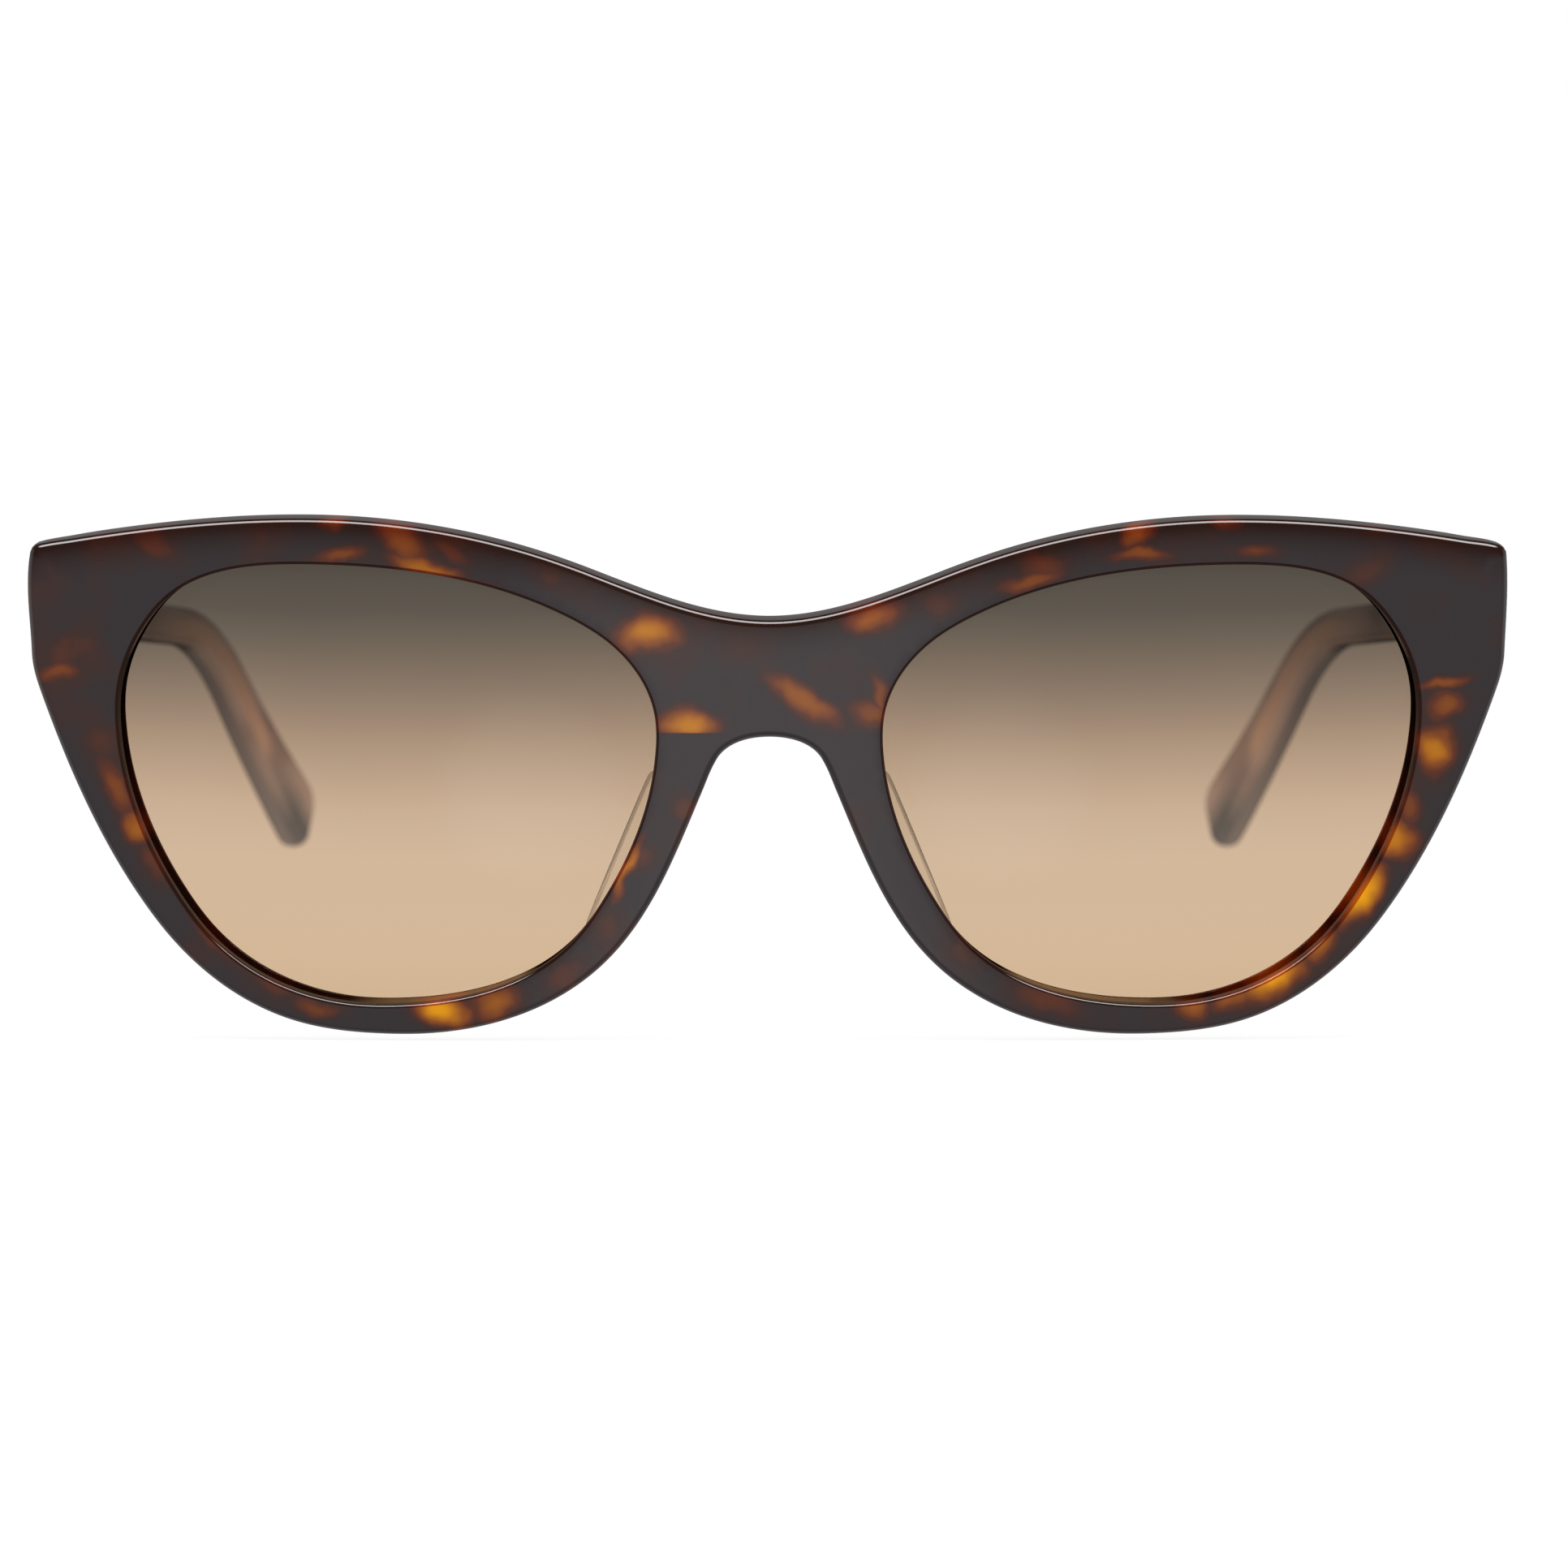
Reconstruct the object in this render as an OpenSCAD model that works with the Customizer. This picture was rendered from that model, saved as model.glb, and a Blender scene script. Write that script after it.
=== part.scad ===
// Cat eye sunglasses: an acetate front with crystal nose pads, laminated gradient
// lenses, five-barrel hinges and wire-cored acetate temples that fold.
// +X is the wearer's left, +Y runs back along the temples and +Z is up. The origin
// is on the front face, in the middle of the bridge, on the lenses' datum line.
// "left" and "right" are the wearer's. Each pair is one module, mirrored.

/* [Front] */
// Width of the front between its outer corners
front_w = 143.2; // [142:0.2:148]
// Thickness of the sheet that the front is cut from
front_t = 4.5; // [4.2:0.1:5]
// Radius that the front is bent to, around the face
wrap_r = 360; // [330:10:420]
// Forward lean of the front's top edge, in degrees
lean = 9; // [7:0.5:10]
// Thickness left at the outer ends, where the temples meet the front
end_t = 3.4; // [3.2:0.1:3.6]

/* [Lenses] */
// Width of each lens opening
lens_w = 52.5; // [51:0.25:53]
// Height of each lens opening
lens_h = 43; // [41:0.25:43.5]
// Distance from the middle of the bridge to each opening's centre
eye_x = 37; // [36.6:0.1:37.6]
// Angle that each lens is turned outwards, in degrees
eye_turn = 5.9; // [5:0.1:7]
// Radius of the front surface of each lens
lens_r = 118; // [112:1:128]
// Distance that each lens bulges in front of the frame's face
lens_proud = 0.6; // [0.4:0.1:0.8]
// Thickness of the front wafer, and of the rear wafer
wafer_t = 0.9; // [0.8:0.05:1]
// Thickness of the polarising film between the wafers
film_t = 0.16; // [0.1:0.02:0.2]
// Depth of the groove that holds each lens
groove_d = 0.7; // [0.5:0.05:0.8]

/* [Temples] */
// Distance from the front's back to the start of the ear bend
reach_l = 86.5; // [80:0.5:92]
// Downward angle of the temple behind the ear, in degrees
drop = 31; // [26:1:36]
// Length of the part behind the ear
drop_l = 31.5; // [28:0.5:36]
// Height of the temple at its root
root_h = 12; // [11:0.25:13]
// Height of the temple at its narrowest
waist_h = 4.2; // [4:0.1:6]
// Height of the paddle at the temple's tip
tip_h = 9; // [7.5:0.25:10.5]
// Thickness of the temple at its root
root_t = 4.4; // [4:0.1:4.5]
// Thickness of the temple at its tip
tip_t = 2.4; // [2.4:0.1:3.4]
// Distance that the tip comes in towards the head
tip_in = 14.2; // [9:0.2:15]
// Radius of the two corners at the temple's tip
tip_round = 3.6; // [1.2:0.1:3.7]

/* [Hinges] */
// Radius of the hinge barrels
barrel_r = 1.55; // [1.45:0.05:1.6]
// Height of each of the five barrels, gap included
barrel_pitch = 1.6; // [1.5:0.05:1.7]
// Radius of the hinge screw's shank
screw_r = 0.66; // [0.6:0.02:0.7]
// Radius of the hinge screw's head
head_r = 1.05; // [1:0.05:1.15]

/* [Hidden] */

tortoise = [0.24, 0.15, 0.11];
crystal = [0.93, 0.90, 0.86, 0.6];
lens_tint = [0.62, 0.51, 0.42, 0.6];
film_tint = [0.30, 0.27, 0.25, 0.8];
steel = [0.72, 0.72, 0.70];

steps = 8;      // straight runs between two knots of an outline
plan_steps = 24; // straight runs along the temple, seen from above
fine = 48;      // facets of a small round
big_fine = 720; // facets of the bend and of the lens surfaces
fit = 0.03;     // clearance between pieces that are fixed together
run = 0.04;     // radial clearance of the screw in its bores
seam = 0.05;    // clearance between faces that meet when the temples are open

// Outlines as drawn, before they are scaled to the driving sizes.
// Each knot is [x, z, heading in degrees]; arcs join one knot to the next.
drawn_front_w = 143.2;
half_front = [
    [0, 14.8, 0], [19, 20, 20], [44.1, 24.3, 0], [70.8, 21.3, -11], [71.6, 20.4, -90],
    [71.6, 10.9, -90], [70.9, 7.3, -109], [59.8, -15.1, -127], [48, -24.3, -159],
    [36.1, -26, -180], [16.9, -19.6, -221], [5.3, 0.9, -246], [0, 3.5, -180]
];
drawn_lens = [52.5, 43];
lens_edge = [
    [26.4, 6.9, -90], [19.3, -13, -126], [1.4, -21.6, -180], [-19.4, -13.3, -235],
    [-26.1, 5.4, -270], [-19.4, 15.6, -330], [7.3, 21.4, -360], [22.5, 16.7, -410],
    [26.4, 6.9, -450]
];

lens_t = 2 * wafer_t + film_t + 2 * fit;
eye_z = -1.5;                                   // height of each opening's centre
eye_y = wrap_r - sqrt(wrap_r * wrap_r - eye_x * eye_x);
past = 1;                                       // how far a cutter runs past a face
vast = 120;                                     // size of a cutter that clears everything

outer_x = front_w / 2;
land_y = wrap_r - sqrt(wrap_r * wrap_r - outer_x * outer_x) + end_t;
temple_out = 0.4;                               // step from the front's end to the temple
temple_x = outer_x - temple_out - root_t / 2;   // middle of the temple at its root
temple_z = 16.6;                                // middle of the temple's root, level
temple_y = 10;                                  // where the temple's length is counted from
bend_r = 45;                                    // radius of the ear bend's centreline
straight_y = 45;                                // the temple starts to curve in here

// The hinge sits inside the temple, on an axis that leans with the front.
hinge_x = temple_x - root_t / 2 - 2.2;
hinge_y = land_y + barrel_r + 0.15;
hinge_z = 16.2;
barrels = 5;
barrel_gap = 0.06;
barrel_stack = barrels * barrel_pitch;
anchor_t = 1.2;                                 // plate sunk in the front
anchor_y = land_y - 2.4;                        // front face of that plate
anchor_x = [hinge_x - 1.2, hinge_x + 4];
leaf_t = 1;                                     // plate let into the temple
leaf_proud = 0.45;
leaf_x = temple_x - root_t / 2 - leaf_proud;
leaf_z = [14.2, 20.8];
leaf_gap = 0.72;                                // the leaf starts this far behind the front
leaf_y = [(land_y - leaf_z[0] * sin(lean)) / cos(lean) + leaf_gap, 22.5];
rivet_r = 0.6;
rivet_y = [13.5, 19.5];
rivet_z = 17.4;
rivet_l = 3;
rivet_head_r = 1;
rivet_head_t = 0.35;
slot_w = 0.3;                                   // slot across the screw's head
slot_deep = 0.4;
arm_y = [-0.9, 1.1];                            // the temple leaf's arms, about the hinge axis

wire_t = 1.2;
wire_h = 2.6;
wire_from = 26;                                 // start of the core wire along the temple
wire_short = 16;                                // acetate left past the core wire's end

// ---- Curves ----

function along(a) = [cos(a), sin(a)];
function bezier(p, q, r, s, t) =
    pow(1 - t, 3) * p + 3 * t * pow(1 - t, 2) * q + 3 * t * t * (1 - t) * r + pow(t, 3) * s;
function bezier_slope(p, q, r, s, t) =
    pow(1 - t, 2) * (q - p) + 2 * t * (1 - t) * (r - q) + t * t * (s - r);
function left_of(v) = [-v[1], v[0]] / norm(v);

// Point at t between two knots, moved "out" to the left of the heading.
function between(a, b, t, out) =
    let (
        p = [a[0], a[1]],
        s = [b[0], b[1]],
        hold = norm(s - p) / (3 * pow(cos((b[2] - a[2]) / 4), 2)),
        q = p + hold * along(a[2]),
        r = s - hold * along(b[2])
    )
    bezier(p, q, r, s, t) + out * left_of(bezier_slope(p, q, r, s, t));

// Two knots with one heading are joined by a straight line, with no points between.
function outline(knots, out = 0) = [
    for (i = [0 : len(knots) - 2], j = [0 : knots[i][2] == knots[i + 1][2] ? 0 : steps - 1])
        between(knots[i], knots[i + 1], j / steps, out)
];

function scaled(points, sx, sz) = [for (p = points) [p[0] * sx, p[1] * sz]];

front_scale = front_w / drawn_front_w;
half_outline = scaled(concat(outline(half_front), [[0, 3.5]]), front_scale, 1);
front_outline = concat(half_outline, [for (i = [len(half_outline) - 2 : -1 : 1])
    [-half_outline[i][0], half_outline[i][1]]]);

function lens_outline(out) =
    scaled(outline(lens_edge, out), lens_w / drawn_lens[0], lens_h / drawn_lens[1]);

// The temple's centreline seen from the side, as [y, z, heading] at a length s.
arc_l = bend_r * drop * PI / 180;
temple_l = reach_l + arc_l + drop_l;
function side_at(s) =
    s < reach_l ? [temple_y + s, temple_z, 0]
    : s < reach_l + arc_l ?
        let (a = (s - reach_l) / bend_r * 180 / PI)
        [temple_y + reach_l + bend_r * sin(a), temple_z - bend_r * (1 - cos(a)), -a]
    : let (d = s - reach_l - arc_l)
        [
            temple_y + reach_l + bend_r * sin(drop) + d * cos(drop),
            temple_z - bend_r * (1 - cos(drop)) - d * sin(drop),
            -drop
        ];

// Half height at a length s: falls from the root to the waist, then swells to the tip.
function ease(t) = let (c = min(max(t, 0), 1)) c * c * (3 - 2 * c);
waist_from = 0.48;
waist_to = 0.62;
function half_height(s) =
    let (f = s / temple_l)
    f < waist_to ? root_h / 2 + (waist_h - root_h) / 2 * ease((f + 0.12) / (waist_from + 0.12))
    : waist_h / 2 + (tip_h - waist_h) / 2 * pow((f - waist_to) / (1 - waist_to), 1.3);

// The temple's centreline seen from above, as knots [x, y, heading]. It curves in as a
// parabola that passes "tip_in" inwards at the tip and is drawn on past it.
function plan_knots() =
    let (
        tip = side_at(temple_l)[0] - straight_y,
        end = tip + 8,
        in = tip_in * pow(end / tip, 2)
    )
    [
        [temple_x, -20, 90], [temple_x, straight_y, 90],
        [temple_x - in, straight_y + end, 90 + atan(2 * in / end)]
    ];

// ---- Front ----

module leaning() rotate([lean, 0, 0]) children();
module pair(left) mirror([left ? 0 : 1, 0, 0]) children();

// A flat outline in x and z, made solid from y0 towards the back.
module slab(points, y0, depth)
    translate([0, y0 + depth, 0]) rotate([90, 0, 0]) linear_extrude(depth) polygon(points);

// Everything behind the front's bent face, or behind a surface "deep" below it.
module behind(deep)
    translate([0, wrap_r, -vast / 2]) cylinder(h = vast, r = wrap_r - deep, $fn = big_fine);

module at_eye() translate([eye_x, eye_y, eye_z]) rotate([0, 0, eye_turn]) children();

// One layer of a lens: a spherical shell "from" behind the front surface.
module lens_layer(from, thick, out)
    at_eye() intersection() {
        slab(lens_outline(out), -3, 12);
        translate([0, lens_r - lens_proud, 0]) difference() {
            sphere(r = lens_r - from, $fn = 240);
            sphere(r = lens_r - from - thick, $fn = 240);
        }
    }

module opening() {
    at_eye() slab(lens_outline(0), -4, 16);
    lens_layer(-seam, lens_t + 2 * seam, groove_d);
}

module anchor(grow) {
    translate([anchor_x[0] - grow, anchor_y - grow, hinge_z - barrel_stack / 2 - grow])
        cube([anchor_x[1] - anchor_x[0] + 2 * grow, anchor_t + 2 * grow, barrel_stack + 2 * grow]);
    translate([hinge_x - barrel_r - grow, anchor_y, hinge_z - barrel_stack / 2 - grow])
        cube([2 * barrel_r + 2 * grow, land_y - anchor_y + past, barrel_stack + 2 * grow]);
}

module front_frame()
    color(tortoise) leaning() difference() {
        intersection() {
            slab(front_outline, -past, land_y + past);
            behind(0);
        }
        behind(front_t);
        for (left = [true, false]) pair(left) {
            opening();
            anchor(fit);
        }
    }

// Pad as a rounded wedge: a foot on the rim's back and a ridge that meets the nose.
pad_foot = [[8.6, -1.8], [11, -0.6], [13.9, -9.6], [17.2, -16.2], [15.8, -17.3], [12, -11.2]];
pad_ridge = [[11, 7.2, -1.6, 0.9], [12.8, 9.2, -7.5, 1.4], [14.7, 8.9, -12, 1.4], [16.9, 7, -16.3, 1.1]];

module nose_pad()
    color(crystal) leaning() intersection() {
        hull() {
            slab(pad_foot, front_t - past, past + 0.4);
            for (p = pad_ridge) translate([p[0], p[1], p[2]]) sphere(r = p[3], $fn = 24);
        }
        behind(front_t + fit);
    }

lens_slack = 0.1;  // gap between a lens's edge and the bottom of its groove
module front_wafer() color(lens_tint) leaning() lens_layer(0, wafer_t, groove_d - lens_slack);
module film()
    color(film_tint) leaning() lens_layer(wafer_t + fit, film_t, groove_d - lens_slack);
module rear_wafer()
    color(lens_tint) leaning()
        lens_layer(wafer_t + film_t + 2 * fit, wafer_t, groove_d - lens_slack);

// ---- Hinges ----

// Children are drawn at each barrel of one leaf; the front has barrels 0, 2 and 4.
module at_barrels(first)
    for (i = [first : 2 : barrels - 1])
        translate([hinge_x, hinge_y, hinge_z - barrel_stack / 2 + i * barrel_pitch + barrel_gap / 2])
            children();

barrel_h = barrel_pitch - barrel_gap;
head_h = 0.75;
shank_l = barrel_stack - head_h - 0.3;

module screw_bore() {
    translate([hinge_x, hinge_y, hinge_z - barrel_stack / 2 - past])
        cylinder(h = barrel_stack + 2 * past, r = screw_r + run, $fn = fine);
    translate([hinge_x, hinge_y, hinge_z + barrel_stack / 2 - head_h - fit])
        cylinder(h = head_h + past, r = head_r + run, $fn = fine);
}

module front_hinge()
    color(steel) leaning() difference() {
        union() {
            translate([anchor_x[0], anchor_y, hinge_z - barrel_stack / 2])
                cube([anchor_x[1] - anchor_x[0], anchor_t, barrel_stack]);
            at_barrels(0) {
                cylinder(h = barrel_h, r = barrel_r, $fn = fine);
                translate([-barrel_r, anchor_y - hinge_y, 0])
                    cube([2 * barrel_r, hinge_y - anchor_y, barrel_h]);
            }
        }
        screw_bore();
    }

module hinge_screw()
    color(steel) leaning()
        translate([hinge_x, hinge_y, hinge_z + barrel_stack / 2]) difference() {
            union() {
                translate([0, 0, -head_h]) cylinder(h = head_h, r = head_r, $fn = fine);
                translate([0, 0, -head_h - shank_l]) cylinder(h = shank_l + fit, r = screw_r, $fn = fine);
            }
            translate([-head_r - past, -slot_w / 2, -slot_deep])
                cube([2 * head_r + 2 * past, slot_w, slot_deep + past]);
        }

// The leaf's plate, with a rounded back end, "grow" larger all round.
module leaf_plate(grow) {
    half = (leaf_z[1] - leaf_z[0]) / 2;
    translate([leaf_x - grow, 0, (leaf_z[0] + leaf_z[1]) / 2]) rotate([90, 0, 90])
        linear_extrude(leaf_t + 2 * grow) {
            translate([leaf_y[0] - grow, -half - grow])
                square([leaf_y[1] - half - leaf_y[0] + grow, 2 * half + 2 * grow]);
            translate([leaf_y[1] - half, 0]) circle(r = half + grow, $fn = fine);
        }
}

module at_rivets() for (y = rivet_y) translate([leaf_x, y, rivet_z]) rotate([0, 90, 0]) children();

module temple_hinge()
    color(steel) difference() {
        union() {
            leaf_plate(0);
            leaning() at_barrels(1) {
                cylinder(h = barrel_h, r = barrel_r, $fn = fine);
                translate([0, arm_y[0], 0])
                    cube([leaf_x - hinge_x + leaf_proud / 2, arm_y[1] - arm_y[0], barrel_h]);
            }
        }
        leaning() screw_bore();
        at_rivets() translate([0, 0, -past]) cylinder(h = leaf_t + 2 * past, r = rivet_r + fit, $fn = fine);
    }

module temple_hinge_rivets()
    color(steel) at_rivets() {
        cylinder(h = rivet_l, r = rivet_r, $fn = fine);
        translate([0, 0, -rivet_head_t - fit]) {
            cylinder(h = rivet_head_t, r1 = rivet_r, r2 = rivet_head_r, $fn = fine);
            cylinder(h = rivet_head_t + 2 * fit, r = rivet_r, $fn = fine);
        }
    }

// ---- Temples ----

// Lengths at which the side view has points, closer together round the end's corners.
function stations(from, to, round) = concat(
    [for (i = [0 : 44]) from + (to - round - from) * i / 44],
    [for (a = [18 : 18 : 90]) to - round + round * sin(a)]
);

function temple_edge(side, from, to, half, round) = [
    for (s = stations(from, to, round))
        let (
            c = side_at(s),
            h = half < 0 ? half_height(s) : half,
            over = max(s - to + round, 0),
            cut = round - sqrt(max(round * round - over * over, 0))
        )
        [c[0], c[1]] + side * (h - cut) * along(c[2] + 90)
];

// Side view of the temple, or of its core wire when "half" is its half height.
module side_view(from, to, half = -1) {
    round = half < 0 ? tip_round : half / 2;
    top = temple_edge(1, from, to, half, round);
    low = temple_edge(-1, from, to, half, round);
    rotate([90, 0, 90]) linear_extrude(vast)
        polygon(concat(top, [for (i = [len(low) - 1 : -1 : 0]) low[i]]));
}

// Straight and of one thickness up to the second knot, then curving in and thinning.
function plan_edge(side, t_root, t_tip) =
    let (knots = plan_knots())
    concat(
        [between(knots[0], knots[1], 0, side * t_root / 2)],
        [
            for (j = [0 : plan_steps])
                let (f = j / plan_steps)
                between(knots[1], knots[2], f, side * (t_root + (t_tip - t_root) * f) / 2)
        ]
    );

module plan_view(t_root, t_tip) {
    inner = plan_edge(1, t_root, t_tip);
    outer = plan_edge(-1, t_root, t_tip);
    translate([0, 0, -vast / 2]) linear_extrude(vast)
        polygon(concat(inner, [for (i = [len(outer) - 1 : -1 : 0]) outer[i]]));
}

module temple_blank()
    intersection() {
        side_view(-12, temple_l);
        plan_view(root_t, tip_t);
    }

module core_wire()
    color(steel) intersection() {
        side_view(wire_from, temple_l - wire_short, wire_h / 2);
        plan_view(wire_t, wire_t);
    }

module wire_channel()
    intersection() {
        side_view(wire_from - fit, temple_l - wire_short + fit, wire_h / 2 + fit);
        plan_view(wire_t + 2 * fit, wire_t + 2 * fit);
    }

module temple()
    color(tortoise) difference() {
        temple_blank();
        leaning() translate([0, land_y + seam - vast, -vast / 2]) cube(vast);
        leaf_plate(fit);
        at_rivets() cylinder(h = rivet_l + fit, r = rivet_r + fit, $fn = fine);
        wire_channel();
    }

front_frame();
pair(true) nose_pad();  // nose_pad_left
pair(false) nose_pad();  // nose_pad_right
pair(true) front_wafer();  // lens_front_wafer_left
pair(false) front_wafer();  // lens_front_wafer_right
pair(true) film();  // polarising_film_left
pair(false) film();  // polarising_film_right
pair(true) rear_wafer();  // lens_rear_wafer_left
pair(false) rear_wafer();  // lens_rear_wafer_right
pair(true) front_hinge();  // front_hinge_left
pair(false) front_hinge();  // front_hinge_right
pair(true) hinge_screw();  // hinge_screw_left
pair(false) hinge_screw();  // hinge_screw_right
pair(true) temple_hinge();  // temple_hinge_left
pair(false) temple_hinge();  // temple_hinge_right
pair(true) temple_hinge_rivets();  // temple_hinge_rivets_left
pair(false) temple_hinge_rivets();  // temple_hinge_rivets_right
pair(true) temple();  // temple_left
pair(false) temple();  // temple_right
pair(true) core_wire();  // core_wire_left
pair(false) core_wire();  // core_wire_right
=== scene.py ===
"""Looks of the cat eye sunglasses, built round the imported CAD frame.

The acetate front, temples and nose pads and the lens layers are rebuilt as smooth meshes from the
outlines of their CAD nodes. The hinges, screws, rivets and wires keep their CAD meshes.
"""

import math

import bmesh
import bpy
import numpy as np
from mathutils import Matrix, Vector
from mathutils.geometry import delaunay_2d_cdt


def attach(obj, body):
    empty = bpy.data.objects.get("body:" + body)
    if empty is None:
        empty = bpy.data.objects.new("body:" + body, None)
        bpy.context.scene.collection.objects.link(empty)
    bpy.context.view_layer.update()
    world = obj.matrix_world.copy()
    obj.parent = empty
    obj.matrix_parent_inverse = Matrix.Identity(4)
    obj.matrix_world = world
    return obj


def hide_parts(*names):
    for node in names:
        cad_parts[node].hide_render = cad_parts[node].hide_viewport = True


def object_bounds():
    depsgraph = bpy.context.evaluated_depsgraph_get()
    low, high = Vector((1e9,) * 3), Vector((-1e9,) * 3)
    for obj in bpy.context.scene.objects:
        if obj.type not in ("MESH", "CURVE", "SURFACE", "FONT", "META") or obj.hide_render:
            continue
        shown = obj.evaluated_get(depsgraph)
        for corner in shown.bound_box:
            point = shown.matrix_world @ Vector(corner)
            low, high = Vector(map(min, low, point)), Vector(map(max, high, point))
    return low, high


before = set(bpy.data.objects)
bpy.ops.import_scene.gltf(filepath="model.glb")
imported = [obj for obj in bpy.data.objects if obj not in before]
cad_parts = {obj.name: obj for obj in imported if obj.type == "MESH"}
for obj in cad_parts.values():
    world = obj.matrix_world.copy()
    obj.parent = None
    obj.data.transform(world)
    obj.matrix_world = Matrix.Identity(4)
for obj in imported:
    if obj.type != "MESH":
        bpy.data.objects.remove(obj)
cad_low, cad_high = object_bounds()

# ---- Sizes of the CAD design, in metres and radians ----

MM = 0.001
LEAN = math.radians(9)  # forward lean of the front's top edge
WRAP_R = 360 * MM  # radius that the front is bent to
FRONT_T = 4.5 * MM  # thickness of the front
LAND_Y = 10.59 * MM  # depth of the flat ends that the temples meet
BACK_EASE = 0.12 * MM  # how softly the bent back runs into them
EYE_X = 37 * MM  # centre of a lens opening
EYE_Z = -1.5 * MM
EYE_TURN = math.radians(5.9)  # each lens is turned outwards by this
LENS_R = 118 * MM  # radius of a lens's front surface
LENS_PROUD = 0.6 * MM  # the lens bulges this far in front of the rim
WAFER_T = 0.9 * MM
FILM_T = 0.16 * MM
LAYER_GAP = 0.03 * MM
LENS_T = 2 * WAFER_T + FILM_T + 2 * LAYER_GAP
LENS_LAP = 0.6 * MM  # how far a lens reaches into the groove
GROOVE_D = 0.7 * MM
GROOVE_SLACK = 0.05 * MM

TEMPLE_Y = 10 * MM  # temple's centreline, seen from the side
TEMPLE_Z = 16.6 * MM
REACH_L = 86.5 * MM
BEND_R = 45 * MM
DROP = math.radians(31)
DROP_L = 31.5 * MM
TIP_ROUND = 3.6 * MM
ARC_L = BEND_R * DROP
TEMPLE_L = REACH_L + ARC_L + DROP_L
ROOT_ROUND = 0.25 * MM  # rounding of a temple's root and tip faces
TIP_EDGE = 1.2 * MM
LEVEL_S = 16 * MM  # the sections stop leaning with the front from here on
RING_STEP = 2 * MM
ROOT_CORNER = 0.9 * MM  # corner radius of the sections
TIP_CORNER = 1.2 * MM
LEAST_CORNER = 0.15 * MM
WIDTH_SHARE = 0.43  # it stays under these shares of the section's width and height
HEIGHT_SHARE = 0.36
ROOT_SHARE = 0.55  # and starts at this share at the root, to be full after ROOT_RUN
ROOT_RUN = 6 * MM
ROOT_CLEAR = 0.02 * MM  # sections are cut at least this far inside the solid's ends
TIP_CLEAR = 0.05 * MM
SECTION_REACH = 12 * MM  # more than half a temple's height
WIRE_H = 2.6 * MM  # the core wire's height
WIRE_LOW = 0.1  # the wire shows this share of the height below the middle
GLOW_FROM = 62 * MM  # the wire shows through from here on, where the temple gets thin
GLOW_RISE = 25 * MM
WIRE_TO = TEMPLE_L - 16 * MM
GLOW_FALL = 5 * MM
TIP_SHADE_RISE = 14 * MM  # length over which the painted shade low on each tip comes in
ROOT_S = (LAND_Y + 0.05 * MM - TEMPLE_Z * math.sin(LEAN)) / math.cos(LEAN) - TEMPLE_Y

SAME_POINT = 0.002 * MM  # CAD vertices closer than this are one point
SHORT_RUN = 0.05 * MM  # outline points closer than this are one corner
LEAST_TURN = math.radians(0.5)  # and a corner turns at least this much

# ---- Small geometry helpers ----

FRONT_AXES = np.array(
    [
        [1, 0, 0],
        [0, math.cos(LEAN), math.sin(LEAN)],
        [0, -math.sin(LEAN), math.cos(LEAN)],
    ]
)


def to_front(points):
    """Row frame to the front's own leaning frame."""
    return points @ FRONT_AXES.T


def from_front(points):
    """The front's own leaning frame to the row frame."""
    return points @ FRONT_AXES


def face_y(x):
    """Depth of the bent face."""
    return WRAP_R - np.sqrt(WRAP_R**2 - x * x)


def back_y(x):
    """Depth of the front's back, eased into the flat ends."""
    bent = WRAP_R - np.sqrt((WRAP_R - FRONT_T) ** 2 - x * x)
    return 0.5 * (bent + LAND_Y - np.sqrt((bent - LAND_Y) ** 2 + BACK_EASE**2))


def cad_triangles(node):
    """Merged vertices and triangles of a CAD node."""
    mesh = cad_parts[node].data
    mesh.calc_loop_triangles()
    points = np.array([v.co for v in mesh.vertices], float)
    corners = np.array([t.vertices for t in mesh.loop_triangles])
    keys = np.round(points / SAME_POINT).astype(int)
    _, first, merged = np.unique(keys, axis=0, return_index=True, return_inverse=True)
    return points[first], merged.reshape(-1)[corners]


def boundary_loops(triangles):
    """Closed loops of vertex numbers round a patch of triangles."""
    edges = {(t[i], t[(i + 1) % 3]) for t in triangles for i in range(3)}
    after = {a: b for a, b in edges if (b, a) not in edges}
    loops = []
    while after:
        start, here = after.popitem()
        loop = [start]
        while here != start:
            loop.append(here)
            here = after.pop(here)
        loops.append(loop)
    return loops


def signed_area(points):
    """Area of a loop, positive where it runs anticlockwise."""
    x, y = points[:, 0], points[:, 1]
    return 0.5 * np.sum(x * np.roll(y, -1) - y * np.roll(x, -1))


def drawn_corners(points):
    """Only the points where a loop turns. Points that split a straight run are left out."""
    keep = points[np.linalg.norm(points - np.roll(points, 1, 0), axis=1) > SHORT_RUN]
    into = keep - np.roll(keep, 1, 0)
    out = np.roll(keep, -1, 0) - keep
    turn = into[:, 0] * out[:, 1] - into[:, 1] * out[:, 0]
    size = np.linalg.norm(into, axis=1) * np.linalg.norm(out, axis=1)
    return keep[np.abs(turn) > math.sin(LEAST_TURN) * size]


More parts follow.
